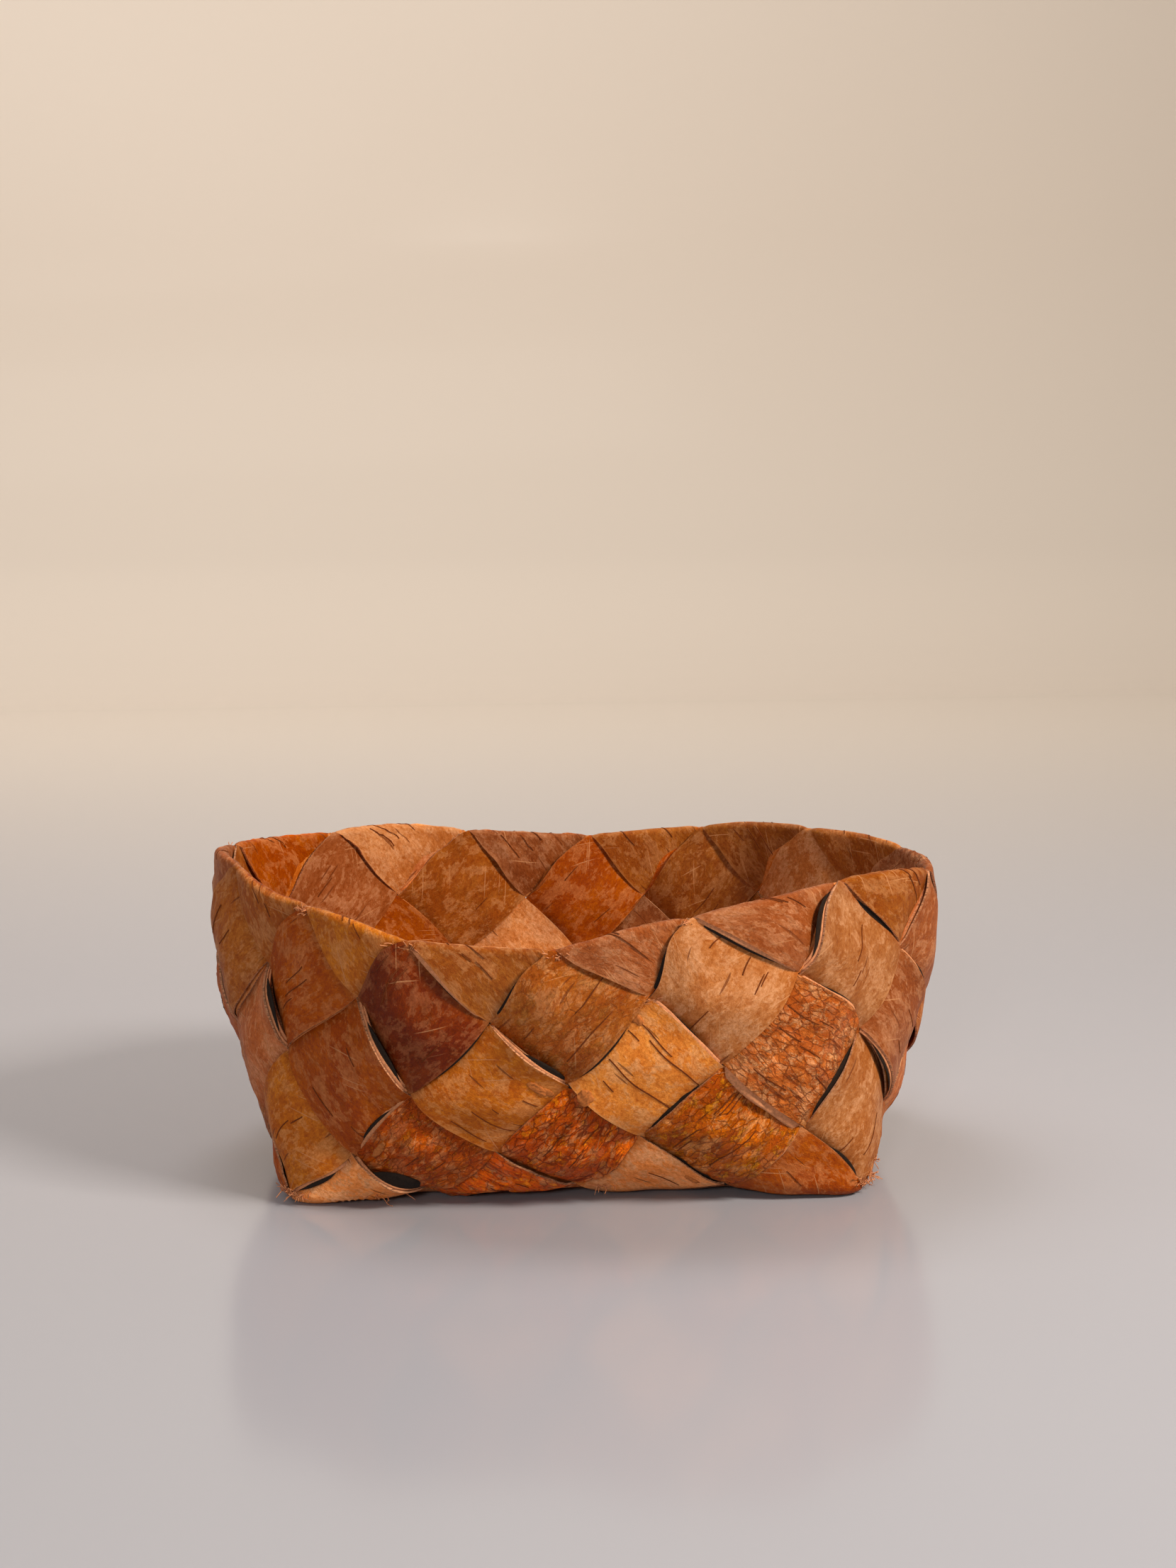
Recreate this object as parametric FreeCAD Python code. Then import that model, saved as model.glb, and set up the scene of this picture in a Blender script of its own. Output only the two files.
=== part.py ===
import FreeCAD, Part
import math
import os

# Birch bark box, plaited on the diagonal from fourteen strips of bark.
# Millimetres, +Z up. The origin is the middle of the base, on the surface that the box stands on.
# +X is the long way, and -Y is the front.
#
# Every strip runs flat across the base, climbs a wall at each end, folds over the rim and comes
# back down the outside, lying on the strip that climbs the other way. Lengths along and across the
# weave are counted in cells: a cell is the square where two strips cross, one strip pitch wide.
# A pitch diagonal is a cell's diagonal, because the strips lie at 45 degrees to the base's edges.

SIZES = [
    ("strip_pitch", 36.0, "from one strip to the next, across the strips"),
    ("strip_gap", 2.6, "open gap between the edges of neighbouring strips"),
    ("bark_thickness", 0.7, "one layer of bark"),
    ("layer_clearance", 0.2, "air between two layers that lie on each other"),
    ("cell_crown", 2.0, "how far a layer arches away in the middle of a cell of the wall"),
    ("edge_crown", 0.8, "the same in the cells that bend around the base's edge"),
    ("base_diagonals_long", 4, "cell diagonals along the front edge of the base"),
    ("base_diagonals_wide", 3, "cell diagonals along the side edge of the base"),
    ("rim_flare_end", 16.0, "how far the rim stands outside the base at each end"),
    ("rim_corner_radius", 74.0, "plan radius of the rim's four corners"),
    ("rim_belly_front", 20.0, "bow of the front rim between its corners"),
    ("rim_belly_back", 20.0, "bow of the back rim between its corners"),
    ("rim_belly_end", 10.5, "bow of each end rim between its corners"),
    ("rim_shift_front", 5.6, "the whole rim leans this far to the front"),
    ("weave_slip", 7.5, "how far the weave wanders sideways at the rim"),
    ("rim_height", 102.0, "height of the rim in the middle of the right end"),
    ("rise_front_left", 0.5, "how far the front left corner of the rim stands above that"),
    ("dip_front", 8.5, "how far the rim dips below it at the front"),
    ("rise_front_right", 4.5, "how far the front right corner stands above it"),
    ("rise_back_right", 3.5, "how far the back right corner stands above it"),
    ("dip_back", 4.0, "how far the rim dips below it at the back"),
    ("rise_back_left", 5.0, "how far the back left corner stands above it"),
    ("rise_left", 8.0, "how far the middle of the left end stands above it"),
    ("edge_lift_middle", 5.5, "how far the base's edge is lifted halfway along"),
    ("edge_lift_corner", 1.4, "how far the base's edge is lifted at its corners"),
    ("edge_inset_middle", 3.0, "how far the base's edge is drawn in halfway along"),
    ("corner_pull", 6.0, "how far each corner of the base is drawn in towards the middle"),
]

# Shares and counts that shape the box and have no length of their own.
FRONT_LOW_SHARE = 0.35
WALL_BOW_POWER = 2.2
WALL_DIAGONALS = 2
SLIP_WAVES = 2
SLIP_START_DIAGONALS = 1.0
EDGE_ROUND_DIAGONALS_SHARE = 0.5
CORNER_ROUND_DIAGONALS_SHARE = 0.4
CELL_SHARES = (1.0 / 3.0, 2.0 / 3.0)
FOLD_STEPS = 4
NORMAL_STEP_SHARE = 0.03
SAME_LEVEL_SHARE = 1.0e-6
SEW_SHARE = 1.0e-3

# Where each strip lies in the stack of layers, row by row from the rim down to the first cells of
# the base, in half layers outward from the middle of the weave. A strip that climbs to the right
# and one that climbs to the left cross in every cell, and each may carry a folded strip.
FIRST_LAYERS = {"right": (-3, 1, -3, 1, -3, 1), "left": (-1, -3, 1, -3, -1, -3)}
RETURN_LAYERS = {"right": (3, -1, 3, -1, 1, -1), "left": (1, 3, -1)}


def make_sheet(doc):
    """The spreadsheet that holds the driving sizes, one alias for each."""
    sheet = doc.addObject("Spreadsheet::Sheet", "Sizes")
    for row, (alias, value, meaning) in enumerate(SIZES, start=1):
        sheet.set("A%d" % row, alias)
        sheet.set("B%d" % row, "%g" % value)
        sheet.set("C%d" % row, meaning)
        sheet.setAlias("B%d" % row, alias)
    doc.recompute()
    return sheet


doc = FreeCAD.newDocument("BirchBarkBox")
sheet = make_sheet(doc)


def size(alias):
    """A driving size, read back from the spreadsheet."""
    return float(sheet.get(alias))


PITCH = size("strip_pitch")
DIAGONAL = PITCH * math.sqrt(2)
THICKNESS = size("bark_thickness")
LAYER_STEP = THICKNESS + size("layer_clearance")
CROWN = size("cell_crown")
EDGE_CROWN = size("edge_crown")
LONG = int(size("base_diagonals_long"))
WIDE = int(size("base_diagonals_wide"))
HALF_LENGTH = LONG * DIAGONAL / 2
HALF_WIDTH = WIDE * DIAGONAL / 2
FOLD_ROWS = 2 * WALL_DIAGONALS
EDGE_SHARE = size("strip_gap") / PITCH / 2
STATIONS = (EDGE_SHARE,) + CELL_SHARES + (1 - EDGE_SHARE,)

# The bark's middle layer in the base lies this high, so that the outermost faces of the flat
# cells are at Z = 0.
BASE_HEIGHT = LAYER_STEP / 2 + THICKNESS / 2

# The four walls, in order, seen from above: where each starts, the way it runs, the way it faces,
# and its length, all in diagonals from the base's front left corner.
WALLS = [
    {"start": (0, 0), "along": (1, 0), "out": (0, -1), "count": LONG, "first": 0},
    {"start": (LONG, 0), "along": (0, 1), "out": (1, 0), "count": WIDE, "first": LONG},
    {"start": (LONG, WIDE), "along": (-1, 0), "out": (0, 1), "count": LONG, "first": LONG + WIDE},
    {"start": (0, WIDE), "along": (0, -1), "out": (-1, 0), "count": WIDE, "first": 2 * LONG + WIDE},
]
AROUND = 2 * (LONG + WIDE)

# Rim heights, at places counted in diagonals around the box from the front left corner.
RIM_HEIGHT = size("rim_height")
RIM_HEIGHTS = [
    (0, RIM_HEIGHT + size("rise_front_left")),
    (FRONT_LOW_SHARE * LONG, RIM_HEIGHT - size("dip_front")),
    (LONG, RIM_HEIGHT + size("rise_front_right")),
    (LONG + WIDE / 2, RIM_HEIGHT),
    (LONG + WIDE, RIM_HEIGHT + size("rise_back_right")),
    (LONG + WIDE + LONG / 2, RIM_HEIGHT - size("dip_back")),
    (2 * LONG + WIDE, RIM_HEIGHT + size("rise_back_left")),
    (2 * LONG + WIDE + WIDE / 2, RIM_HEIGHT + size("rise_left")),
    (AROUND, RIM_HEIGHT + size("rise_front_left")),
]


def ease(share):
    """A smooth step from 0 to 1."""
    return (1 - math.cos(math.pi * share)) / 2


def rim_height(around):
    """Height of the rim line at a place around the box."""
    place = around % AROUND
    for (start, low), (end, high) in zip(RIM_HEIGHTS, RIM_HEIGHTS[1:]):
        if place <= end:
            return low + (high - low) * ease((place - start) / (end - start))
    return RIM_HEIGHTS[-1][1]


def bow(share):
    """A shallow arch over a side: 0 at both ends and 1 halfway."""
    return 1 - (2 * share - 1) ** 2


def wall_at(around):
    """The wall that a place around the box is on, and its share of that wall."""
    place = around % AROUND
    for wall in reversed(WALLS):
        if place >= wall["first"]:
            return wall, (place - wall["first"]) / wall["count"]


def plan_point(x, y):
    """A spot of the base in plan, x and y in diagonals from its front left corner. Near a corner of
    the base it is drawn in, which rounds the corner."""
    nearest_x = x if 2 * x < LONG else LONG - x
    nearest_y = y if 2 * y < WIDE else WIDE - y
    away = abs(nearest_x) + abs(nearest_y)
    pull = size("corner_pull") / math.sqrt(2) * max(0, 1 - away / CORNER_ROUND_DIAGONALS_SHARE) ** 2
    pull_x = pull if 2 * x < LONG else -pull
    pull_y = pull if 2 * y < WIDE else -pull
    return FreeCAD.Vector(x * DIAGONAL - HALF_LENGTH + pull_x, y * DIAGONAL - HALF_WIDTH + pull_y, 0)


def base_outline(around):
    """A point of the base's edge, in plan."""
    wall, share = wall_at(around)
    x = wall["start"][0] + wall["along"][0] * wall["count"] * share
    y = wall["start"][1] + wall["along"][1] * wall["count"] * share
    return plan_point(x, y)


def rim_outline(around):
    """A point of the rim, in plan: a rectangle with large round corners and bowed sides."""
    wall, share = wall_at(around)
    along = FreeCAD.Vector(wall["along"][0], wall["along"][1], 0)
    out = FreeCAD.Vector(wall["out"][0], wall["out"][1], 0)
    half_length = HALF_LENGTH + size("rim_flare_end")
    lengthwise = wall["along"][1] == 0
    half_along = half_length if lengthwise else HALF_WIDTH
    half_out = HALF_WIDTH if lengthwise else half_length
    radius = min(size("rim_corner_radius"), HALF_WIDTH)
    arc = math.pi / 4 * radius
    straight = 2 * (half_along - radius)
    walked = share * (straight + 2 * arc)
    middle = walked - arc - straight / 2
    turn = 0
    if walked < arc:
        turn = -(arc - walked) / radius
    elif walked > arc + straight:
        turn = (walked - arc - straight) / radius
    if turn:
        middle = math.copysign(straight / 2, turn) + radius * math.sin(turn)
    depth = half_out - radius + radius * math.cos(turn)
    bellies = {(0, -1): "rim_belly_front", (0, 1): "rim_belly_back"}
    depth += size(bellies.get(wall["out"], "rim_belly_end")) * bow(share)
    lean = FreeCAD.Vector(0, -size("rim_shift_front"), 0)
    return along * middle + out * depth + lean


def edge_round(share, inside):
    """Lift and inset of the rounded base edge, at a share of a wall and a distance from the edge
    in diagonals."""
    fade = max(0, 1 - inside / EDGE_ROUND_DIAGONALS_SHARE) ** 2
    corner = size("edge_lift_corner")
    lift = corner + (size("edge_lift_middle") - corner) * bow(share)
    return lift * fade, size("edge_inset_middle") * bow(share) * fade


def weave_slip(around):
    """How far the rim's points stand off their even places, in diagonals around the box. The weave
    is crowded in some stretches of the rim and open in others."""
    turn = 2 * math.pi * SLIP_WAVES * (around - SLIP_START_DIAGONALS) / AROUND
    return -size("weave_slip") / DIAGONAL * math.sin(turn)


def wall_point(around, up):
    """A point of a wall, up diagonals above the base's edge."""
    share_up = up / WALL_DIAGONALS
    swell = 1 - max(0, 1 - share_up) ** WALL_BOW_POWER
    around += weave_slip(around) * share_up
    low = base_outline(around)
    plan = low + (rim_outline(around) - low) * swell
    height = BASE_HEIGHT + (rim_height(around) - BASE_HEIGHT) * share_up
    wall, share = wall_at(around)
    lift, inset = edge_round(share, up)
    inward = FreeCAD.Vector(-wall["out"][0], -wall["out"][1], 0)
    return plan + inward * inset + FreeCAD.Vector(0, 0, height + lift)


def base_point(x, y):
    """A point of the base, x and y diagonals from its front left corner."""
    best = (0, 0, WALLS[0])
    for wall in WALLS:
        beyond_x = x - wall["start"][0]
        beyond_y = y - wall["start"][1]
        inside = -(beyond_x * wall["out"][0] + beyond_y * wall["out"][1])
        share = (beyond_x * wall["along"][0] + beyond_y * wall["along"][1]) / wall["count"]
        lift, inset = edge_round(min(max(share, 0), 1), max(inside, 0))
        if lift > best[0]:
            best = (lift, inset, wall)
    lift, inset, wall = best
    inward = FreeCAD.Vector(-wall["out"][0], -wall["out"][1], 0)
    return plan_point(x, y) + inward * inset + FreeCAD.Vector(0, 0, BASE_HEIGHT + lift)


def sheet_point(wall, along, up):
    """A point of the box's middle layer, laid out flat from one wall: along it, and up it or, where
    up is negative, in under it into the base."""
    if up >= 0:
        return wall_point(wall["first"] + along, up)
    x = wall["start"][0] + wall["along"][0] * along + wall["out"][0] * up
    y = wall["start"][1] + wall["along"][1] * along + wall["out"][1] * up
    return base_point(x, y)


def sheet_frame(wall, along, up):
    """The point, the outward direction and the upward direction of the middle layer."""
    step = NORMAL_STEP_SHARE
    side = sheet_point(wall, along + step, up) - sheet_point(wall, along - step, up)
    rise = sheet_point(wall, along, up + step) - sheet_point(wall, along, up - step)
    out = side.cross(rise).normalize()
    return sheet_point(wall, along, up), out, rise.normalize()


def layer(climb, row, returned):
    """Layer of a strip in a cell, in half layers outward from the middle of the weave. climb is the
    way that the strip leans up the wall, row counts the cells down from the rim, and returned is
    true after the fold."""
    layers = RETURN_LAYERS[climb] if returned else FIRST_LAYERS[climb]
    if row < len(layers):
        return layers[row]
    return 1 if (row % 2 == 1) == (climb == "right") else -1


def laid_flat(wall, spot):
    """A spot laid out flat, seen from one wall: along the wall, and up it, in diagonals. Up is
    negative inside the base."""
    x = spot[0] - wall["start"][0]
    y = spot[1] - wall["start"][1]
    along = x * wall["along"][0] + y * wall["along"][1]
    return along, x * wall["out"][0] + y * wall["out"][1]


class Strip:
    """One strip of bark: its run across the base and what it does at each end."""

    def __init__(self, name, start, way):
        self.name = name
        self.start = start
        self.way = way
        reach_x = start[0] if way[0] < 0 else LONG - start[0]
        reach_y = WIDE - start[1]
        self.cells = round(2 * min(reach_x, reach_y))
        left, right = WALLS[3], WALLS[1]
        behind, ahead = (right, left) if way[0] < 0 else (left, right)
        first_wall = WALLS[0] if start[1] == 0 else behind
        last_wall = WALLS[2] if reach_y <= reach_x else ahead
        back = (-way[0], -way[1])
        self.ends = [(first_wall, self.climb(first_wall, back)), (last_wall, self.climb(last_wall, way))]

    @staticmethod
    def climb(wall, way):
        """Which way the strip leans as it climbs this wall, seen from outside."""
        lean = wall["along"][0] * way[0] + wall["along"][1] * way[1]
        return "right" if lean > 0 else "left"

    def spot(self, place, sideways):
        """A spot of the strip laid out flat, in diagonals from the base's front left corner."""
        x = self.start[0] + (place * self.way[0] - sideways * self.way[1]) / 2
        y = self.start[1] + (place * self.way[1] + sideways * self.way[0]) / 2
        return x, y

    def near(self, cell):
        """The end that a cell belongs to: its wall, the way of the climb, and cells up from the
        base's edge."""
        if cell <= self.cells / 2:
            return self.ends[0] + (-cell,)
        return self.ends[1] + (cell - self.cells,)

    def return_cells(self, end):
        """Cells covered after the fold. A strip that climbs to the right comes back down to its
        first cell of the base, or to the base's edge beside a corner. One that climbs to the left
        is tucked away sooner."""
        wall, climb = self.ends[end]
        if climb == "left":
            return len(RETURN_LAYERS[climb]) - 1
        along = laid_flat(wall, self.spot(self.cells if end else 0, 0))[0]
        landing = (wall["first"] + along + 2 * WALL_DIAGONALS + 0.5) % AROUND
        beside_corner = landing in [other["first"] for other in WALLS]
        return FOLD_ROWS if beside_corner else FOLD_ROWS + 1

    def lines(self):
        """The strip's cross lines, one end to the other: the cell's number, counted from where the
        strip leaves the first wall, and the place along the strip in cells."""
        first = -FOLD_ROWS - self.return_cells(0)
        last = self.cells + FOLD_ROWS + self.return_cells(1)
        return [(cell, cell - 0.5 + share) for cell in range(first, last + 1) for share in STATIONS]

    def level(self, cell, place, sideways):
        """Height that the lattice's triangles are cut along, from the wall's or the nearest edge."""
        wall = self.near(cell)[0]
        if 0 < cell < self.cells:
            wall = max(WALLS, key=lambda other: laid_flat(other, self.spot(cell, 0))[1])
        return laid_flat(wall, self.spot(place, sideways))[1]

    def corner(self, cell, place, sideways):
        """The middle of the bark at one lattice corner and the way its outer face points. Where the
        strip turns over the rim there are several, from inside the box to outside."""
        wall, climb, cells_up = self.near(cell)
        along, up = laid_flat(wall, self.spot(place, sideways))
        returned = up > WALL_DIAGONALS
        folded_up = up
        if returned:
            middle = laid_flat(wall, self.spot(cell, 0))[0]
            landing = wall_at(wall["first"] + middle)[0]
            along = (wall["first"] + along - landing["first"] + AROUND / 2) % AROUND - AROUND / 2
            wall = landing
            folded_up = 2 * WALL_DIAGONALS - up
        point, out, rise = sheet_frame(wall, along, folded_up)
        row = abs(FOLD_ROWS - cells_up)
        half_layers = layer(climb, row, returned)
        crown = CROWN if row < FOLD_ROWS else EDGE_CROWN if row == FOLD_ROWS else 0
        for share in (place - cell, sideways):
            crown *= math.cos(math.pi * share / (1 - 2 * EDGE_SHARE))
        offset = half_layers * LAYER_STEP / 2 + math.copysign(crown, half_layers)
        if cells_up != FOLD_ROWS or abs(up - WALL_DIAGONALS) > SAME_LEVEL_SHARE:
            return [(point + out * offset, out * (-1 if returned else 1))]
        turn = []
        for step in range(FOLD_STEPS + 1):
            angle = math.pi * step / FOLD_STEPS
            radial = rise * math.sin(angle) - out * math.cos(angle)
            turn.append((point + radial * abs(offset), radial * -1))
        return turn

    def middle(self):
        """The strip's middle surface: its corners, and the triangles between them."""
        lines = self.lines()
        corners = []
        numbers = {}
        levels = {}
        for line, (cell, place) in enumerate(lines):
            for column, share in enumerate(STATIONS):
                turn = self.corner(cell, place, share - 0.5)
                numbers[line, column] = range(len(corners), len(corners) + len(turn))
                levels[line, column] = self.level(cell, place, share - 0.5)
                corners.extend(turn)
        triangles = []
        for line in range(len(lines) - 1):
            for column in range(len(STATIONS) - 1):
                ring = [(line, column), (line + 1, column), (line + 1, column + 1), (line, column + 1)]
                slope = [abs(levels[ring[k]] - levels[ring[k + 2]]) for k in (0, 1)]
                if slope[0] > slope[1]:
                    ring = ring[1:] + ring[:1]
                triangles.extend(self.quad(ring, numbers, levels))
        return corners, triangles

    @staticmethod
    def quad(ring, numbers, levels):
        """The triangles of one square of the lattice, with those of the turn over the rim if the
        rim runs across it."""
        first, side, third, other = ring
        found = []
        walls = []
        for key in (side, other):
            returned = levels[first] + levels[key] + levels[third] > 3 * WALL_DIAGONALS
            ends = [numbers[k][-1 if returned else 0] for k in (first, third)]
            tip = numbers[key][-1 if returned else 0]
            found.append((ends[0], tip, ends[1]) if key == side else (ends[0], ends[1], tip))
            if not returned:
                walls.append(key)
        if len(numbers[first]) > 1 and len(numbers[third]) > 1:
            left, right = numbers[first], numbers[third]
            if walls == [other]:
                left, right = right, left
            for step in range(FOLD_STEPS):
                found.append((left[step], right[step], right[step + 1]))
                found.append((left[step], right[step + 1], left[step + 1]))
        return found

    def solid(self):
        """The strip as a solid: its middle surface with half a layer of bark on either side."""
        corners, triangles = self.middle()
        count = len(corners)
        half = THICKNESS / 2
        points = [point - face * half for point, face in corners]
        points += [point + face * half for point, face in corners]
        facets = list(triangles)
        facets += [(c + count, b + count, a + count) for a, b, c in triangles]
        edges = {(t[k], t[(k + 1) % 3]) for t in triangles for k in range(3)}
        for a, b in sorted(edges):
            if (b, a) not in edges:
                facets.append((b, a, a + count))
                facets.append((b, a + count, b + count))
        shape = Part.Shape()
        shape.makeShapeFromMesh((points, facets), SEW_SHARE * THICKNESS)
        return Part.Solid(shape).removeSplitter()


def strips():
    """The fourteen strips: seven that run to the back left and seven to the back right."""
    found = []
    for way, name, side in (((-1, 1), "strip_to_back_left", LONG), ((1, 1), "strip_to_back_right", 0)):
        starts = [(place + 0.5, 0) for place in range(LONG)]
        starts += [(side, place + 0.5) for place in range(WIDE)]
        for number, start in enumerate(starts, start=1):
            found.append(Strip("%s_%d" % (name, number), start, way))
    return found


def add_strip(strip):
    """One strip as an object of the document."""
    feature = doc.addObject("Part::Feature", strip.name)
    feature.Label = strip.name
    feature.Shape = strip.solid()
    feature.Placement = FreeCAD.Placement()
    return feature


def check(features):
    """Stops if an object failed or a shape isn't one sound solid."""
    doc.recompute()
    for item in doc.Objects:
        if "Invalid" in item.State or "Error" in item.State:
            raise RuntimeError("%s failed: %s" % (item.Label, item.State))
    for feature in features:
        shape = feature.Shape
        if shape.isNull() or not shape.isValid() or len(shape.Solids) != 1 or shape.Volume <= 0:
            raise RuntimeError("%s isn't one sound solid" % feature.Label)


def main():
    features = [add_strip(strip) for strip in strips()]
    check(features)
    os.makedirs("parts", exist_ok=True)
    for feature in features:
        feature.Shape.exportStep("parts/%s.step" % feature.Label)
        print(feature.Label, len(feature.Shape.Faces), "faces", round(feature.Shape.Volume), "mm3")


main()
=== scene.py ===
import math
import random

import bmesh
import bpy
import numpy as np
from mathutils import Matrix, Vector, noise


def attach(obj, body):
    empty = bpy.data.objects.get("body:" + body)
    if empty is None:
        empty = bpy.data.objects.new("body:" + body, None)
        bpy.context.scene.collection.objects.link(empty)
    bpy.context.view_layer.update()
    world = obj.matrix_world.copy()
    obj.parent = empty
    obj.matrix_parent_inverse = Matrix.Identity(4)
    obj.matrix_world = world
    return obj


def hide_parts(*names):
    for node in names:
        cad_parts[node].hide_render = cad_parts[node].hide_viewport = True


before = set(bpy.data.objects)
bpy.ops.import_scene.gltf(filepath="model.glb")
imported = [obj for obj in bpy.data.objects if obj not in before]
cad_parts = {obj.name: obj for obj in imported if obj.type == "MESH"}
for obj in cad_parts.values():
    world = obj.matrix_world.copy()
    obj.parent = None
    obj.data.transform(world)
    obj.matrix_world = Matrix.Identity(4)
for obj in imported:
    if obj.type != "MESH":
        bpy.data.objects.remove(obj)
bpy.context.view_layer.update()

bl_info = {
    "name": "Birch bark box",
    "version": (1, 0, 0),
    "blender": (4, 5, 0),
    "location": "3D View > Sidebar > Bark box",
    "description": "An open box plaited on the diagonal from wide strips of birch bark",
    "category": "Add Mesh",
}

# The weave, counted in cell diagonals: the base is LONG by WIDE, and the walls are WALL high.
LONG = 4
WIDE = 3
WALL = 2
AROUND = 2 * (LONG + WIDE)
FOLD_ROWS = 2 * WALL
WALL_FIRST = np.array([0, LONG, LONG + WIDE, 2 * LONG + WIDE])
WALL_COUNT = np.array([LONG, WIDE, LONG, WIDE])
WALL_START = np.array([(0, 0), (LONG, 0), (LONG, WIDE), (0, WIDE)], float)
WALL_ALONG = np.array([(1, 0), (0, 1), (-1, 0), (0, -1)], float)
WALL_OUT = np.array([(0, -1), (1, 0), (0, 1), (-1, 0)], float)
TO_BACK_LEFT = (-1, 1)
TO_BACK_RIGHT = (1, 1)

# Where each strip lies in the stack of layers, row by row from the rim down to the first cells of
# the base, in half layers outward from the middle of the weave.
FIRST_LAYERS = {"right": (-3, 1, -3, 1, -3, 1), "left": (-1, -3, 1, -3, -1, -3)}
RETURN_LAYERS = {"right": (3, -1, 3, -1, 1, -1), "left": (1, 3, -1)}

# Shares of the box's shape: where along the front its rim is lowest, how the walls curve out, how
# often and from where the weave wanders sideways, and how far in the base is rounded at its edges
# and corners, in cell diagonals.
FRONT_LOW_SHARE = 0.35
WALL_BOW_POWER = 2.2
SLIP_WAVES = 2
SLIP_START = 1.0
EDGE_ROUND = 0.5
CORNER_ROUND = 0.4

# The surface is softened with a weighted mean of the places beside and above each place.
SOFTEN_STEP = 0.05
SOFTEN_ALONG = np.array((1, 2, 1)) / 4
SOFTEN_UP = np.array((1, 4, 6, 4, 1)) / 16

# How a strip's mesh is divided: squares across a cell, lines beside the fold at the rim, and how far
# the values of two cells blend on each side of the line between them.
CELL_SQUARES = 24
FOLD_LINES = (0, 0.011, 0.024, 0.04, 0.06, 0.085)
CELL_BLEND = 0.13

# How a strip's edges run, as shares of its pitch: how much wider it is in the middle of a cell, less
# its mean, and how much it wanders in width, sideways, and along the wall once it has folded over.
BARREL = 0.06
BARREL_MEAN = 0.12
WIDTH_WANDER = 0.012
SIDE_WANDER = 0.010
RETURN_WANDER = 0.006

# How cells arch: the share of the arch at a strip's edges and at its fold, how far from the fold it
# is whole again, the shares in the rim's row, on the outer layers and on the middle ones, and how
# much the cells differ.
EDGE_CROWN_SHARE = 0.5
RIM_CROWN_SHARE = 0.2
RIM_FLAT = 0.3
RIM_ROW_CROWN = 0.75
OUTER_CROWN = 1.12
MIDDLE_CROWN = 0.88
CROWN_SWING = 0.22

# The share of the crinkles and waves that is left where strips cross and fold, the slow waves
# around the box and up it, and how far beside the fold a strip eases into its bend, in diagonals.
CALM_SHARE = 0.3
WAVES = ((7.9, 5.2), (4.3, -9.4))
FOLD_REACH = 0.42

# How fine the crinkles are along and across a strip, how far apart the strips are cut from the bark's
# pattern, in metres, and the angle in degrees from which an edge is sharp.
CRINKLE_SCALE = (2.4, 4.4)
BARK_STEP = 0.83
SHARP_ANGLE = 50

# Painted shade and light in the bark's colour: how much darker it is painted towards a crossing
# strip and from where in the cell; how light it is painted at the edges and in the middle of a cell,
# which paints light on each crown and shade at its edges; and the painted shade inside the box.
TUCKED_PAINTED_SHADE = 0.18
TUCKED_START = 0.36
CROWN_LIGHT_LOW = 0.95
CROWN_LIGHT_HIGH = 1.02
INSIDE_PAINTED_SHADE = 0.60

# What shades of the bark its colour is multiplied with: red, green and blue.
REDDER = (0.82, 0.68, 0.48, 1)
PALER = (1.18, 1.40, 2.00, 1)
DARKER = (0.70, 0.48, 0.32, 1)
GOLDEN = (1.50, 2.70, 7.00, 1)
DEEPEST = (0.30, 0.18, 0.16, 1)
# The finest mottling of the bark: the lowest and highest share of red, of green and of blue.
FINE_ENDS = ((0.77, 1.23), (0.62, 1.40), (0.38, 1.80))

# The bark's noises: scale along and across the strip, shift, detail, roughness and twist.
NOISES = {
    "cloud": ((38, 60, 1), (0, 0, 0), 5.0, 0.6, 0.3),
    "haze": ((26, 34, 1), (6, 1, 0), 4.0, 0.6, 0.2),
    "islands": ((85, 125, 1), (2, 7, 0), 6.0, 0.6, 0.2),
    "stain": ((190, 250, 1), (3, 5, 0), 8.0, 0.72, 0.3),
    "grain": ((420, 1300, 1), (0, 0, 0), 3.0, 0.7, 0.0),
    "speck": ((640, 800, 1), (0, 0, 0), 5.0, 0.8, 0.0),
    "ridges": ((130, 230, 1), (8, 3, 0), 6.0, 0.7, 0.8),
    "patch": ((70, 120, 1), (1, 9, 0), 8.0, 0.7, 0.5),
    "peel": ((150, 210, 1), (4, 2, 0), 9.0, 0.76, 0.4),
}

# The bark's thin dashes: scale, the widths where they are whole and gone, the share of the pattern's
# cells that have none, shift and turn.
DASHES = {
    "short": ((40, 520, 1), (0.14, 0.19), 0.70, (0.7, 0.6, 0), 0.0),
    "scratches": ((30, 900, 1), (0.12, 0.20), 0.72, (0.1, 0.9, 0), 0.5),
    "crossed": ((26, 900, 1), (0.12, 0.20), 0.74, (0.4, 0.2, 0), -0.8),
    "cracks": ((34, 420, 1), (0.18, 0.24), 0.35, (0.9, 0.3, 0), 0.0),
}

# The weave's crossings on the front don't sit on an even lattice. Each of these is moved, in
# millimetres to the right and up: place around the box, place up the wall, right, up.
NUDGES = (
    (-1, 2, 5, 2), (0, 2, 2, -1), (1, 2, -2.5, 0), (2, 2, 0, -2), (3, 2, -5, 0.5), (4, 2, -4, 0),
    (-0.5, 1.5, 5, 1), (0.5, 1.5, 2, 0), (1.5, 1.5, 1, -1), (2.5, 1.5, 5, 4), (3.5, 1.5, 3.5, 2.3),
    (4.5, 1.5, -1, 2), (0, 1, -2.5, 1.5), (1, 1, -3, -4), (2, 1, 1, -0.5), (3, 1, 2.2, 1.4),
    (4, 1, 2, 3), (1.5, 0.5, 0, -1), (2.5, 0.5, -1.5, 2.2), (3.5, 0.5, 1.6, 0.5), (0.5, 0.5, 0.5, -6),
)

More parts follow.
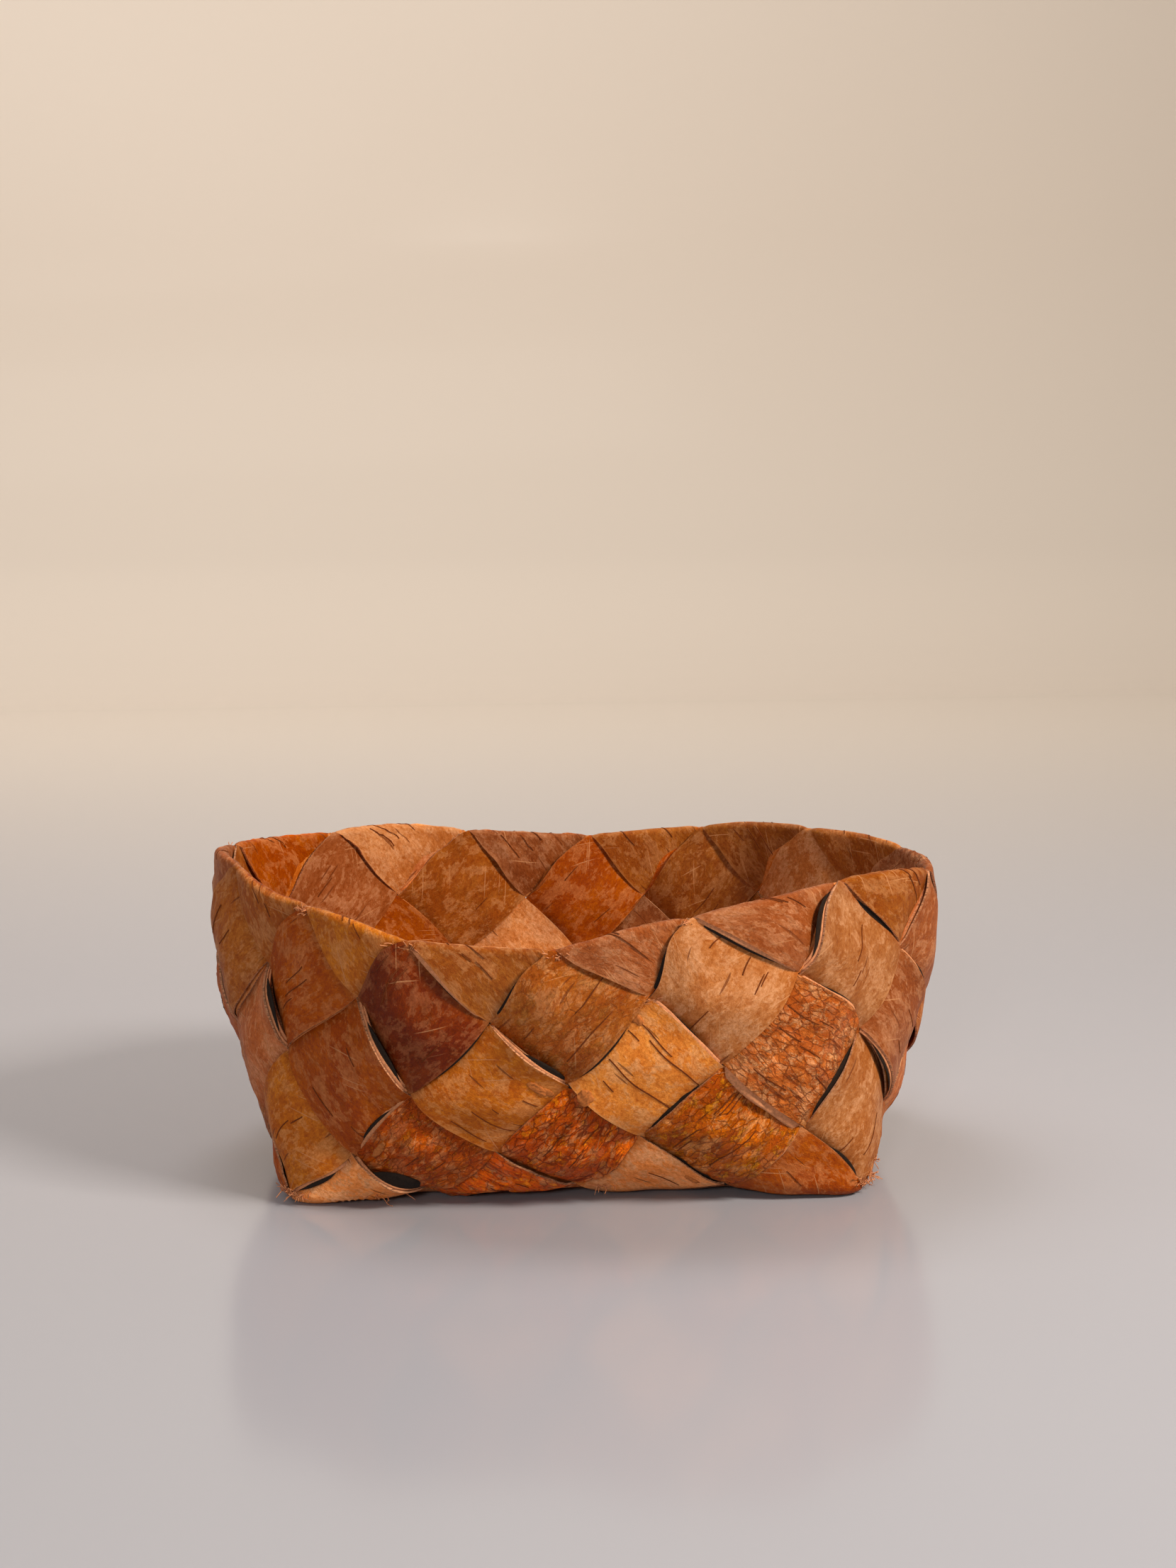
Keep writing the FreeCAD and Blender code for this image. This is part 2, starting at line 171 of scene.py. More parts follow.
# What each cell of the front looks like, by its row down from the rim and its place around the box:
# colour and shade, flaking, gloss, and how far its upper and lower free edges stand up, in
# millimetres.
CELLS = {
    (0, -0.5): ("olive_brown", 0.92, 0.10, 0.3, 0.6, 0.3),
    (0, 0.5): ("tan", 0.72, 0.05, 0.3, 0.4, 0.3),
    (0, 1.5): ("olive_brown", 0.65, 0.05, 0.4, 0.6, 1.6),
    (0, 2.5): ("pink_brown", 0.84, 0.15, 0.4, 0.4, 0.4),
    (0, 3.5): ("pink_brown", 0.72, 0.12, 0.35, 0.6, 1.2),
    (0, 4.5): ("olive_brown", 0.59, 0.10, 0.3, 0.5, 0.5),
    (1, 0): ("grey_brown", 0.80, 0.05, 0.25, 0.4, 0.4),
    (1, 1): ("dark_brown", 0.68, 0.16, 0.4, 0.8, 0.7),
    (1, 2): ("olive_brown", 0.84, 0.28, 0.9, 0.7, 0.9),
    (1, 3): ("pale_tan", 0.52, 0.05, 0.5, 0.6, 1.0),
    (1, 4): ("pale_tan", 0.40, 0.05, 0.4, 3.0, 0.7),
    (2, -0.5): ("pink_brown", 1.36, 0.10, 0.25, 4.0, 0.4),
    (2, 0.5): ("grey_brown", 0.76, 0.10, 0.35, 3.0, 0.7),
    (2, 1.5): ("tan", 0.76, 0.05, 0.35, 3.2, 0.9),
    (2, 2.5): ("honey", 0.92, 0.04, 0.5, 1.6, 0.7),
    (2, 3.5): ("red_brown", 0.96, 0.85, 0.55, 1.6, 1.3),
    (2, 4.5): ("pink_brown", 0.64, 0.10, 0.3, 2.6, 2.2),
    (3, 0): ("tan", 0.76, 0.05, 0.3, 0.8, 1.6),
    (3, 1): ("orange_red", 0.68, 0.65, 0.6, 1.2, 0.8),
    (3, 2): ("orange_red", 0.96, 0.95, 0.6, 0.5, 0.5),
    (3, 3): ("golden", 0.92, 0.75, 0.75, 0.8, 1.0),
    (3, 4): ("pale_tan", 0.44, 0.05, 0.4, 1.4, 0.8),
    (4, 0.5): ("pale_tan", 1.16, 0.05, 0.3, 3.2, 0.6),
    (4, 1.5): ("orange_red", 1.56, 0.85, 0.5, 0.4, 0.5),
    (4, 2.5): ("pale_tan", 1.08, 0.05, 0.3, 0.6, 0.5),
    (0, 5.5): ("pink_brown", 0.72, 0.10, 0.3, 0.5, 0.5),
    (1, 5): ("pink_brown", 0.72, 0.10, 0.3, 0.5, 0.5),
    (2, 5.5): ("olive_brown", 0.80, 0.10, 0.3, 0.8, 0.6),
    (4, 3.5): ("grey_brown", 0.74, 0.05, 0.4, 1.2, 0.5),
}

# The other cells: how much their shade swings, their gloss, the lift of their edges in millimetres,
# and the most that the smooth and the outer side flake.
PLAIN_SWING = 0.12
PLAIN_GLOSS = 0.35
PLAIN_LIFT = (0.4, 0.4)
PLAIN_FLAKES = (0.12, 0.9)

# The bark's two sides away from the front, strip by strip: the smooth side and the outer side.
STRIP_COLOURS = {
    "strip_to_back_left_1": ("olive_brown", "red_brown"),
    "strip_to_back_left_2": ("pink_brown", "red_brown"),
    "strip_to_back_left_3": ("olive_brown", "red_brown"),
    "strip_to_back_left_4": ("pink_brown", "pink_brown"),
    "strip_to_back_left_5": ("grey_brown", "pink_brown"),
    "strip_to_back_left_6": ("pale_tan", "tan"),
    "strip_to_back_left_7": ("pink_brown", "red_brown"),
    "strip_to_back_right_1": ("pink_brown", "red_brown"),
    "strip_to_back_right_2": ("olive_brown", "pink_brown"),
    "strip_to_back_right_3": ("olive_brown", "pink_brown"),
    "strip_to_back_right_4": ("olive_brown", "red_brown"),
    "strip_to_back_right_5": ("pale_tan", "pink_brown"),
    "strip_to_back_right_6": ("olive_brown", "red_brown"),
    "strip_to_back_right_7": ("grey_brown", "red_brown"),
}

# Long dark dashes in the cells of the front: right of the cell's middle, up from it, and length, in
# millimetres. They run along the strip.
MARKS = {
    (0, 0.5): ((-3.5, 1.5, 12), (4, -4, 6)),
    (0, 1.5): ((-12, 1.5, 5), (-2, -2, 9), (3, 6, 5)),
    (0, 2.5): ((-3.5, -3.5, 15), (-8.5, 1.5, 8), (3, 2, 7)),
    (0, 3.5): ((-9.5, 5, 15), (-3.5, 0, 10), (4.5, -4.5, 7)),
    (0, 4.5): ((-3, 3, 8), (2, -3, 6)),
    (1, 0): ((-1, 1.5, 12), (1.5, -2.5, 14), (-1.5, -9.5, 8)),
    (1, 1): ((-9, 6, 7), (7, -9, 8)),
    (1, 2): ((9, 7, 15), (7, -8, 20), (10, -5, 9), (-12, -3, 6)),
    (1, 3): ((-8.5, -9, 11), (11, 6.5, 6), (12.5, 0.5, 7), (14.5, 1.5, 5), (5.5, 15, 6)),
    (1, 4): ((0.5, 4.5, 13), (-5, -6, 6)),
    (2, 0.5): ((-8, -10, 9), (4, -17, 7), (3, 8, 6)),
    (2, 1.5): ((0, -10.5, 16), (-7.5, -14, 14), (13, -4, 6), (2, -5, 3)),
    (2, 2.5): ((-2, -3, 31), (9, 3, 26), (2.5, 12, 15), (-5, 14, 5), (-12, -1, 6)),
    (2, 3.5): ((-0.5, 12.5, 13), (-5, 7.5, 9), (-12, -6, 14), (6.5, -12, 11), (7, 7, 7), (1, 0, 9)),
    (2, 4.5): ((4, 2, 8), (-3, -7, 6)),
    (3, 0): ((-2, -0.5, 11), (5, 5, 6)),
    (3, 1): ((-2.5, -0.5, 7), (6, -4, 6)),
    (3, 2): ((-6, 2, 11), (2, -4, 9), (8, 4, 8), (-1, 9, 7)),
    (3, 3): (
        (-0.5, 12.5, 9), (1, 12, 9), (2.5, 11.5, 7), (-11.5, -0.5, 12), (-12, -3.5, 7), (2.5, -4.5, 19)),
    (3, 4): ((4.5, -7.5, 16), (-9, -8.5, 6)),
    (4, 1.5): ((0, 4, 9), (8, 6, 6)),
    (4, 2.5): ((5.5, 5, 13),),
    (4, 3.5): ((-3, 6, 8),),
}

# Cells of the front where a lower layer of the bark shows along an edge: whether it is the upper
# edge, how far the layer reaches out, and how far below the strip it lies, in millimetres.
LAYERS = {
    (0, 1.5): ((False, 0.8, 0.7),),
    (0, 3.5): ((False, 0.6, 0.6),),
    (1, 4): ((True, 0.9, 0.9), (True, 1.6, 1.6)),
    (2, -0.5): ((True, 1.0, 1.0), (True, 1.9, 1.8)),
    (2, 0.5): ((True, 0.9, 0.8), (True, 1.6, 1.4)),
    (2, 1.5): ((True, 0.8, 0.9),),
    (2, 2.5): ((True, 0.7, 0.7),),
    (2, 3.5): ((False, 2.6, 0.9), (True, 0.6, 0.7)),
    (2, 4.5): ((False, 0.9, 0.8), (True, 0.9, 1.0)),
    (3, 0): ((False, 1.0, 0.9),),
    (3, 1): ((True, 1.0, 0.8), (True, 1.9, 1.3)),
    (3, 3): ((False, 0.6, 0.6),),
    (4, 0.5): ((True, 0.8, 0.9),),
}

# Painted shadow in the gaps along the edges of the front's cells: dark sheets laid just under an
# edge, standing in for the shade there. For each: the upper edge or not, how far the sheet reaches
# out in millimetres, and the share of the edge, from its left end, where its middle is.
GAP_SHADOWS = {
    (0, 1.5): ((False, 1.0, 0.5),),
    (0, 3.5): ((False, 1.2, 0.45),),
    (0, 4.5): ((False, 0.8, 0.6),),
    (1, 0): ((True, 1.0, 0.5),),
    (1, 1): ((False, 0.9, 0.6),),
    (1, 2): ((False, 1.2, 0.4), (True, 0.9, 0.3)),
    (1, 3): ((True, 1.2, 0.3),),
    (1, 4): ((True, 2.6, 0.5),),
    (2, -0.5): ((True, 3.6, 0.5),),
    (2, 0.5): ((True, 2.8, 0.55),),
    (2, 1.5): ((True, 2.6, 0.7), (False, 0.8, 0.5)),
    (2, 2.5): ((False, 0.8, 0.6), (True, 0.9, 0.5)),
    (2, 3.5): ((True, 1.2, 0.5),),
    (2, 4.5): ((False, 2.2, 0.5), (True, 1.8, 0.5)),
    (3, 0): ((False, 2.6, 0.45),),
    (3, 1): ((True, 2.2, 0.4), (False, 0.9, 0.5)),
    (3, 2): ((False, 0.9, 0.6), (True, 1.2, 0.4)),
    (3, 3): ((True, 1.4, 0.35), (False, 1.0, 0.5)),
    (3, 4): ((True, 1.8, 0.5),),
    (4, 0.5): ((True, 7.5, 0.62),),
    (4, 2.5): ((True, 1.2, 0.75),),
    (4, 3.5): ((True, 1.6, 0.7),),
}

# Sizes of the small parts, in metres: dashes, fibres, and the sheets of scraps and of the painted
# shadow in the gaps.
MARK_WIDTH = 0.00033
MARK_RISE = 0.00012
FIBRE_WIDTH = 0.0005
SCRAP_THICKNESS = 0.0003
GAP_SHADOW_THICKNESS = 0.0002
GAP_SHADOW_DEPTH = 0.0010
# The lower layers: how much of a cell they run along and reach in, as shares of the pitch, and their
# thickness as a share of the bark's. The sheets of painted shadow in the gaps run along this share of
# a cell.
EDGE_LAYER_RUN = 0.94
EDGE_LAYER_WIDTH = 0.08
EDGE_LAYER_SHARE = 0.7
GAP_SHADOW_RUN = 0.72

# How suddenly a small part narrows to its ends, and how closely it winds along the strip.
PATCH_NARROWING = 2.5
PATCH_WAVES = 9.0

# Dashes in the cells that aren't described: how many, how far off the middle and how long, in
# millimetres.
MARK_COUNT = (1, 3)
MARK_SPREAD = 9
MARK_LENGTHS = (4, 14)

# Frayed spots: place around the box, place up the wall, number of fibres and their length in
# millimetres.
FRAYS = (
    (0, 0.02, 30, 2.6), (0.12, 0.02, 20, 2.6), (4, 0.03, 30, 2.6), (4.15, 0.05, 26, 3),
    (4.3, 0.12, 14, 2.6), (0.75, 0.03, 14, 3.5), (2.2, 0.0, 8, 5), (0, 1.98, 14, 3),
    (1, 1.97, 24, 3), (2, 1.98, 12, 2.5), (3, 1.98, 10, 2.5), (1.45, 1.02, 8, 3),
    (4.6, 1.2, 10, 3), (2.5, 1.48, 10, 2.5),
    (5, 1.0, 10, 3), (7, 0.03, 18, 4), (11, 0.03, 18, 4), (6, 1.98, 9, 3), (9, 1.98, 9, 3),
    (12, 1.98, 9, 3),
)

# How fibres start: spread beside the spot, how far off the surface, how far up or down, in metres,
# and how far they turn to either side, in radians.
FRAY_SPREAD = 0.0022
FRAY_STAND_OFF = 0.0014
FRAY_RISES = (-0.0005, 0.0015)
FRAY_TURN = 2.6

# Torn scraps and knots in the cells of the front: right and up from the cell's middle, length and
# width along the strip, and how far they stand off, all in millimetres.
SCRAPS = {
    (2, 1.5): ((15.5, 1.5, 8, 2.6, 0.8), (19.0, -1.0, 5, 2.0, 0.5)),
    (2, 2.5): ((-20.0, -4.5, 5.5, 5, 0.9), (-3.5, 19.0, 4, 2.5, 0.5)),
    (3, 1): ((-15.0, 4.0, 8, 2.5, 0.5),),
    (4, 2.5): ((15.0, 6.0, 6, 2.0, 0.7),),
}
# How a scrap is torn: how fine, where the noise is taken for its three directions, how ragged, and
# how far it stands up in its middle and at its rim.
TORN_SCALE = 30
TORN_SHIFTS = (Vector((9.3, 1.5, 7.9)), Vector((1.5, 5.8, 3.4)), Vector((6.1, 4.2, 9.7)))
TORN_RAGGED = 0.16
TORN_HIGH = 1.4
TORN_LOW = 0.05

# Strips that lie off their line in one cell: the strip, the cell, and how far, as a share of the
# strip pitch.
SHIFTS = {
    ("strip_to_back_left_5", -2): 0.07,
}

# The table runs on into the backdrop: half the table's width, where it bends up, the bend's radius
# and steps, and the height of the backdrop above it, in metres. The colour fades between two places.
TABLE_HALF = 3.0
BEND_START = 1.5
BEND_RADIUS = 0.5
BEND_STEPS = 24
BACKDROP_HEIGHT = 3
TABLE_FADE = (0.2, 1.6)
TABLE_ROUGHNESS = 0.16

# The lamps: size, place, the spot that each looks at, in metres, and colour. Two of them aren't
# mirrored, so that the table shows no bright patch.
BOX_MIDDLE = (0, 0, 0.05)
LAMPS = {
    "key_light": ((0.35, 0.35), (1.0, -0.65, 0.95), BOX_MIDDLE, (1, 0.92, 0.80)),
    "fill_light": ((1.2, 1.2), (-1.1, -0.9, 0.7), BOX_MIDDLE, (1, 0.97, 0.94)),
    "backdrop_light": ((2.0, 1.0), (-0.8, 0.6, 1.9), (-0.5, 2.0, 0.4), (1, 0.97, 0.93)),
    "sheen_light": ((0.2, 0.2), (-0.25, -1.5, 0.60), BOX_MIDDLE, (1, 0.98, 0.95)),
    "top_light": ((0.25, 0.25), (-0.10, 0.30, 0.9), BOX_MIDDLE, (1, 0.98, 0.95)),
}
NOT_MIRRORED = ("key_light", "backdrop_light")
WORLD_COLOUR = (1.0, 0.96, 0.92, 1)

# Where the camera stands: its heading, pitch and roll in radians, and its place in metres.
CAMERA_YAW = -0.0024
CAMERA_PITCH = 0.1426
CAMERA_ROLL = 0.0151
CAMERA_PLACE = (0.005976, -0.849149, 0.255147)


def linear(colour):
    """A colour of 0 to 255 as Blender's linear one."""
    shares = [value / 255 for value in colour]
    return tuple(v / 12.92 if v <= 0.04045 else ((v + 0.055) / 1.055) ** 2.4 for v in shares)


def opaque(colour):
    """A colour with the fourth value that nodes ask for."""
    return tuple(colour) + (1,)


def length(name, default, meaning):
    """A length that a user may change."""
    return bpy.props.FloatProperty(
        name=name, description=meaning, default=default, unit="LENGTH", precision=5)


class BarkBoxSizes(bpy.types.PropertyGroup):
    """Sizes of the box and of its strips, in metres."""

    strip_pitch: length("Strip pitch", 0.036, "From one strip to the next")
    strip_gap: length("Strip gap", 0.0005, "Open gap between the edges of neighbouring strips")
    bark_thickness: length("Bark thickness", 0.0007, "One layer of bark")
    layer_clearance: length("Layer clearance", 0.0002, "Air between two layers")
    crown: length("Cell crown", 0.0033, "How far a strip arches in the middle of a cell of the wall")
    edge_crown: length("Edge crown", 0.0016, "The same at the base's edge")
    base_crown: length("Base crown", 0.0004, "The same in the base")
    rim_flare_end: length("Rim flare", 0.016, "How far the rim stands outside the base at each end")
    rim_corner_radius: length("Rim corner radius", 0.074, "Plan radius of the rim's corners")
    rim_belly_side: length("Rim belly, sides", 0.020, "Bow of the long rims between their corners")
    rim_belly_end: length("Rim belly, ends", 0.0105, "Bow of the end rims between their corners")
    rim_shift_front: length("Rim shift", 0.0056, "The rim leans this far to the front")
    weave_slip: length("Weave slip", 0.0075, "How far the weave wanders sideways at the rim")
    height_front_left: length("Height, front left", 0.1025, "Rim height")
    height_front_low: length("Height, front", 0.0935, "Rim height")
    height_front_right: length("Height, front right", 0.1065, "Rim height")
    height_right: length("Height, right", 0.102, "Rim height")
    height_back_right: length("Height, back right", 0.1055, "Rim height")
    height_back: length("Height, back", 0.098, "Rim height")
    height_back_left: length("Height, back left", 0.107, "Rim height")
    height_left: length("Height, left", 0.110, "Rim height")
    edge_lift_middle: length("Edge lift", 0.0055, "The base's edge is lifted this far halfway along")
    edge_lift_corner: length("Corner lift", 0.0014, "The base's edge is lifted this far at its corners")
    edge_inset_middle: length("Edge inset", 0.003, "The base's edge is drawn in this far halfway along")
    corner_pull: length("Corner pull", 0.006, "Each corner of the base is drawn in this far")
    crinkle: length("Crinkle", 0.0012, "Height of the crinkles in flaking bark")
    unevenness: length("Unevenness", 0.0007, "Height of the slow waves in the bark")


def paint(name, default, meaning):
    """A colour that a user may change, given in values of 0 to 255."""
    return bpy.props.FloatVectorProperty(
        name=name, description=meaning, subtype="COLOR", default=linear(default), min=0, max=1)


class BarkBoxColours(bpy.types.PropertyGroup):
    """The bark's colours."""

    tan: paint("Tan", (222, 117, 18), "A colour of the bark")
    pale_tan: paint("Pale tan", (245, 150, 76), "A colour of the bark")
    honey: paint("Honey", (240, 142, 51), "A colour of the bark")
    pink_brown: paint("Pink brown", (178, 96, 45), "A colour of the bark")
    grey_brown: paint("Grey brown", (193, 85, 1), "A colour of the bark")
    dark_brown: paint("Dark brown", (144, 52, 1), "A colour of the bark")
    olive_brown: paint("Olive brown", (185, 97, 25), "A colour of the bark")
    orange_red: paint("Orange red", (244, 107, 4), "A colour of the bark")
    red_brown: paint("Red brown", (213, 115, 46), "A colour of the bark")
    golden: paint("Golden", (218, 108, 4), "A colour of the bark")
    lenticel: paint("Lenticels", (116, 55, 22), "The dark dashes along the bark")
    cut_edge: paint("Cut edge", (214, 150, 108), "The strips' cut edges")
    bloom: paint("Bloom", (212, 152, 104), "The pale flecks and scratches on the bark")
    # Painted shade: the colour of the dark sheets laid in the weave's gaps in place of their shadow.
    opening: paint("Openings", (42, 32, 26), "The dark inside of the weave, seen through its openings")
    fibre: paint("Frayed fibres", (214, 142, 98), "Fibres at worn folds and corners")
    torn_scrap: paint("Torn scrap", (192, 112, 56), "Torn scraps and knots")


def power(name, default, meaning):
    """The power of a lamp."""
    return bpy.props.FloatProperty(name=name, description=meaning, default=default, unit="POWER")


class BarkBoxStudio(bpy.types.PropertyGroup):
    """The stage that the box is looked at on."""

    floor: paint("Floor", (163, 163, 171), "Colour of the table")
    wall: paint("Backdrop", (234, 220, 206), "Colour of the backdrop")
    key_light: power("Key light", 27.0, "Power of the soft light from the front right")
    fill_light: power("Fill light", 1.8, "Power of the soft light from the left")
    backdrop_light: power("Backdrop light", 28.0, "Power of the light on the backdrop")
    sheen_light: power("Sheen light", 5.0, "Power of the light from the front that the bark mirrors")
    top_light: power("Top light", 1.6, "Power of the light on the rim")
    world: bpy.props.FloatProperty(
        name="World light", description="Strength of the even light from all round", default=0.09)
    focal_length: bpy.props.FloatProperty(
        name="Focal length", description="The camera's lens, in millimetres", default=72.04)


class Wire:
    """A socket of a material, with Python's operators for the Math nodes that it feeds."""

    def __init__(self, finish, socket):
        self.finish = finish
        self.socket = socket

    def math(self, operation, *values):
        """A Math node that this wire feeds first."""
        inputs = dict(enumerate((self,) + values))
        return self.finish.node("ShaderNodeMath", inputs, operation=operation)

    def __add__(self, other):
        return self.math("ADD", other)

    def __sub__(self, other):
        return self.math("SUBTRACT", other)

    def __mul__(self, other):
        return self.math("MULTIPLY", other)

    def __rsub__(self, other):
        return self.finish.node("ShaderNodeMath", {0: other, 1: self}, operation="SUBTRACT")

    __radd__ = __add__
    __rmul__ = __mul__

    def above(self, low, high):
        """0 below low, 1 above high, and smooth between."""
        inputs = {"Value": self, "From Min": low, "From Max": high}
        return self.finish.node("ShaderNodeMapRange", inputs, interpolation_type="SMOOTHSTEP", clamp=True)

    def below(self, low, high):
        """1 below low, 0 above high, and smooth between."""
        return 1 - self.above(low, high)

    def spread(self, low, high, bottom, top):
        """The range from low to high, laid over the range from bottom to top."""
        inputs = {"Value": self, "From Min": low, "From Max": high, "To Min": bottom, "To Max": top}
        return self.finish.node("ShaderNodeMapRange", inputs, clamp=True)

    def part(self, output):
        """Another output of the node that this wire comes from."""
        return Wire(self.finish, self.socket.node.outputs[output])


class Finish:
    """A material and its nodes."""

    def __init__(self, name):
        self.material = bpy.data.materials.new(name)
        self.material.use_nodes = True
        self.tree = self.material.node_tree
        self.tree.nodes.clear()

    def node(self, kind, inputs=(), output=0, **settings):
        """Any node: the values or links of its sockets, the output wanted, and its settings, which are
        set first."""
        node = self.tree.nodes.new(kind)
        for key, value in settings.items():
            setattr(node, key, value)
        for key, value in dict(inputs).items():
            if isinstance(value, Wire):
                self.tree.links.new(value.socket, node.inputs[key])
            else:
                node.inputs[key].default_value = value
        return Wire(self, node.outputs[output]) if node.outputs else None

    def mix(self, factor, first, second, blend="MIX"):
        """Two colours, mixed."""
        sockets = {0: factor, 6: first, 7: second}
        return self.node("ShaderNodeMix", sockets, 2, data_type="RGBA", blend_type=blend)

    def layered(self, colour, *layers):
        """A colour with others laid over it in turn, each where its mask is 1."""
        for mask, over in layers:
            colour = self.mix(mask, colour, over)
        return colour

    def noise(self, place, scale, detail, rough, twist=0.0, output=0):
        """Noise at a place."""
        inputs = {"Vector": place, "Scale": scale, "Detail": detail, "Roughness": rough}
        return self.node("ShaderNodeTexNoise", inputs | {"Distortion": twist}, output)

    def stretched(self, place, scale, shift=(0, 0, 0), turn=0.0):
        """A place, turned in its plane, then scaled and shifted."""
        if turn:
            place = self.node("ShaderNodeMapping", {"Vector": place, "Rotation": (0, 0, turn)})
        return self.node("ShaderNodeMapping", {"Vector": place, "Scale": scale, "Location": shift})

    def pattern(self, name, place):
        """One of the bark's noises."""
        scale, shift, *rest = NOISES[name]
        return self.noise(self.stretched(place, scale, shift), 1.0, *rest)

    def dashes(self, name, place):
        """A mask of one kind of the bark's dashes."""
        scale, width, bare, shift, turn = DASHES[name]
        inputs = {"Vector": self.stretched(place, scale, shift, turn), "Scale": 1.0, "Randomness": 1.0}
        cells = self.node("ShaderNodeTexVoronoi", inputs, feature="F1", distance="EUCLIDEAN")
        share = self.node("ShaderNodeSeparateColor", {0: cells.part("Color")})
        return cells.below(*width) * share.above(bare, bare + 0.02)

    def surface(self, **inputs):
        """The material, with its shader."""
        names = [key.replace("_", " ").title().replace("Ior", "IOR") for key in inputs]
        shader = self.node("ShaderNodeBsdfPrincipled", zip(names, inputs.values()))
        self.node("ShaderNodeOutputMaterial", {"Surface": shader})
        return self.material


def bark(name, side, colours):
    """One side of the bark: the smooth side is mottled like leather, with dashes and scratches, and
    where a cell flakes there are crisp patches of another colour, cracks and crinkles. Painted shade
    and light darken the colour towards crossing strips and in the crinkles' valleys, and lighten it on
    the crowns and ridges."""
    finish = Finish(name)
    place = finish.node("ShaderNodeUVMap", uv_map="Strip")
    tint = finish.node("ShaderNodeAttribute", attribute_name=side + "_tint")
    wear_and_shade = finish.node("ShaderNodeAttribute", attribute_name=side + "_wear")
    # Red holds how much the bark flakes, green its gloss, and blue the painted shade and light of each
    # point.
    flake = finish.node("ShaderNodeSeparateColor", {0: wear_and_shade})
    gloss, shade = flake.part(1), flake.part(2)
    cloud, haze, islands, stain, grain, speck, ridges, patch, peel = (
        finish.pattern(key, place) for key in NOISES)
    short_dashes, scratches, crossed, long_cracks = (finish.dashes(key, place) for key in DASHES)

    redder, paler, darker, golden, deepest = (
        finish.mix(1.0, tint, shares, "MULTIPLY") for shares in (REDDER, PALER, DARKER, GOLDEN, DEEPEST))
    bloom = opaque(colours.bloom)
    scuffed = finish.mix(finish.node("ShaderNodeRGBToBW", {0: tint}) * 1.3 + 0.1, paler, bloom)
    # Each layer's mask runs from its first value, where there is none of it, to its second, where it is
    # whole, and is weakened by what it is multiplied with.
    colour = finish.layered(
        tint,
        (haze.above(0.44, 0.62) * 0.7, paler),
        (cloud.above(0.44, 0.60) * 0.75, redder),
        (cloud.below(0.34, 0.46) * 0.45, paler),
        (islands.above(0.54, 0.555) * (flake * 0.6 + 0.55), scuffed),
        (islands.below(0.43, 0.445) * (flake * 0.6 + 0.4), redder),
        (stain.above(0.53, 0.56) * (flake * 0.4 + 0.6), scuffed),
        (stain.below(0.41, 0.45) * 0.6, redder))

    fine = grain * 0.2 + speck * 0.8
    # Painted shade and light: the points' painted shade, times the crinkles painted darker in their
    # valleys and lighter on their ridges where the bark flakes. The finest mottle is multiplied by it.
    dark = shade * (1 + (ridges.spread(0.38, 0.62, 0.66, 1.30) - 1) * flake)
    mottled = {n: fine.spread(0.38, 0.62, *ends) * dark for n, ends in enumerate(FINE_ENDS)}
    colour = finish.mix(1.0, colour, finish.node("ShaderNodeCombineColor", mottled), "MULTIPLY")

    across = finish.node("ShaderNodeSeparateXYZ", {0: place}).part("Y")
    worn = (across.math("ABSOLUTE") + stain * 0.0050).above(0.0203, 0.0209)
    bent = finish.noise(finish.stretched(place, (260, 260, 1), (5, 5, 0)), 1.0, 3.0, 0.6, output=1)
    rugged = finish.mix(0.35, finish.stretched(place, (130, 260, 1)), bent, "ADD")
    cells = finish.node(
        "ShaderNodeTexVoronoi", {"Vector": rugged, "Scale": 1.6}, feature="DISTANCE_TO_EDGE")
    cracks = cells.below(0.03, 0.08) * stain.above(0.42, 0.50) * cloud.above(0.34, 0.46) * flake
    long_cracks = long_cracks * flake
    dark_patch = patch.above(0.50, 0.53) * flake
    pale_patch = peel.above(0.565, 0.58) * flake
    colour = finish.layered(
        colour,
        (scratches.math("MAXIMUM", crossed) * 0.5, bloom),
        (short_dashes * 0.75, opaque(colours.lenticel)),
        (worn * 0.45, scuffed),
        (dark_patch * 0.7, darker),
        (pale_patch * 0.60, golden),
        (cracks.math("MAXIMUM", long_cracks) * 0.75, deepest))

    height = fine * 0.35 + short_dashes * -0.20 + cracks * -0.4 + long_cracks * -0.4 + pale_patch * 0.35
    height = height + dark_patch * -0.2 + stain * 0.5 + cloud * 0.8 + ridges * flake * 3.6
    rough = 0.52 - gloss * 0.42 + fine * 0.25 + stain * 0.25 - 0.12
    bump = finish.node("ShaderNodeBump", {"Height": height, "Strength": 1.0, "Distance": 0.001})
    return finish.surface(base_color=colour, roughness=rough, specular_ior_level=0.17, normal=bump)


def cut_edge(colours):
    """The strips' edges, where fine layers of the bark show."""
    finish = Finish("bark_cut_edge")
    place = finish.node("ShaderNodeTexCoord", output="Object")
    layers = finish.noise(finish.stretched(place, (300, 300, 2400)), 1.0, 3.0, 0.6)
    stain = finish.noise(place, 160.0, 4.0, 0.6)
    dark = opaque(0.35 * value for value in colours.cut_edge)
    colour = finish.layered(
        dark, (layers.above(0.35, 0.6), opaque(colours.cut_edge)), (stain.above(0.45, 0.75) * 0.4, dark))
    bump = finish.node("ShaderNodeBump", {"Height": layers, "Strength": 0.4, "Distance": 0.0002})
    return finish.surface(base_color=colour, roughness=0.7, normal=bump)


def plain_bark(name, colour):
    """Bark with a plain colour and a fine mottle, for the small pieces."""
    finish = Finish(name)
    mottle = finish.noise(finish.node("ShaderNodeTexCoord", output="Object"), 900.0, 4.0, 0.7)
    mottled = finish.mix(mottle.above(0.35, 0.6), opaque(0.7 * value for value in colour), opaque(colour))
    return finish.surface(base_color=mottled, roughness=0.75, specular_ior_level=0.15)


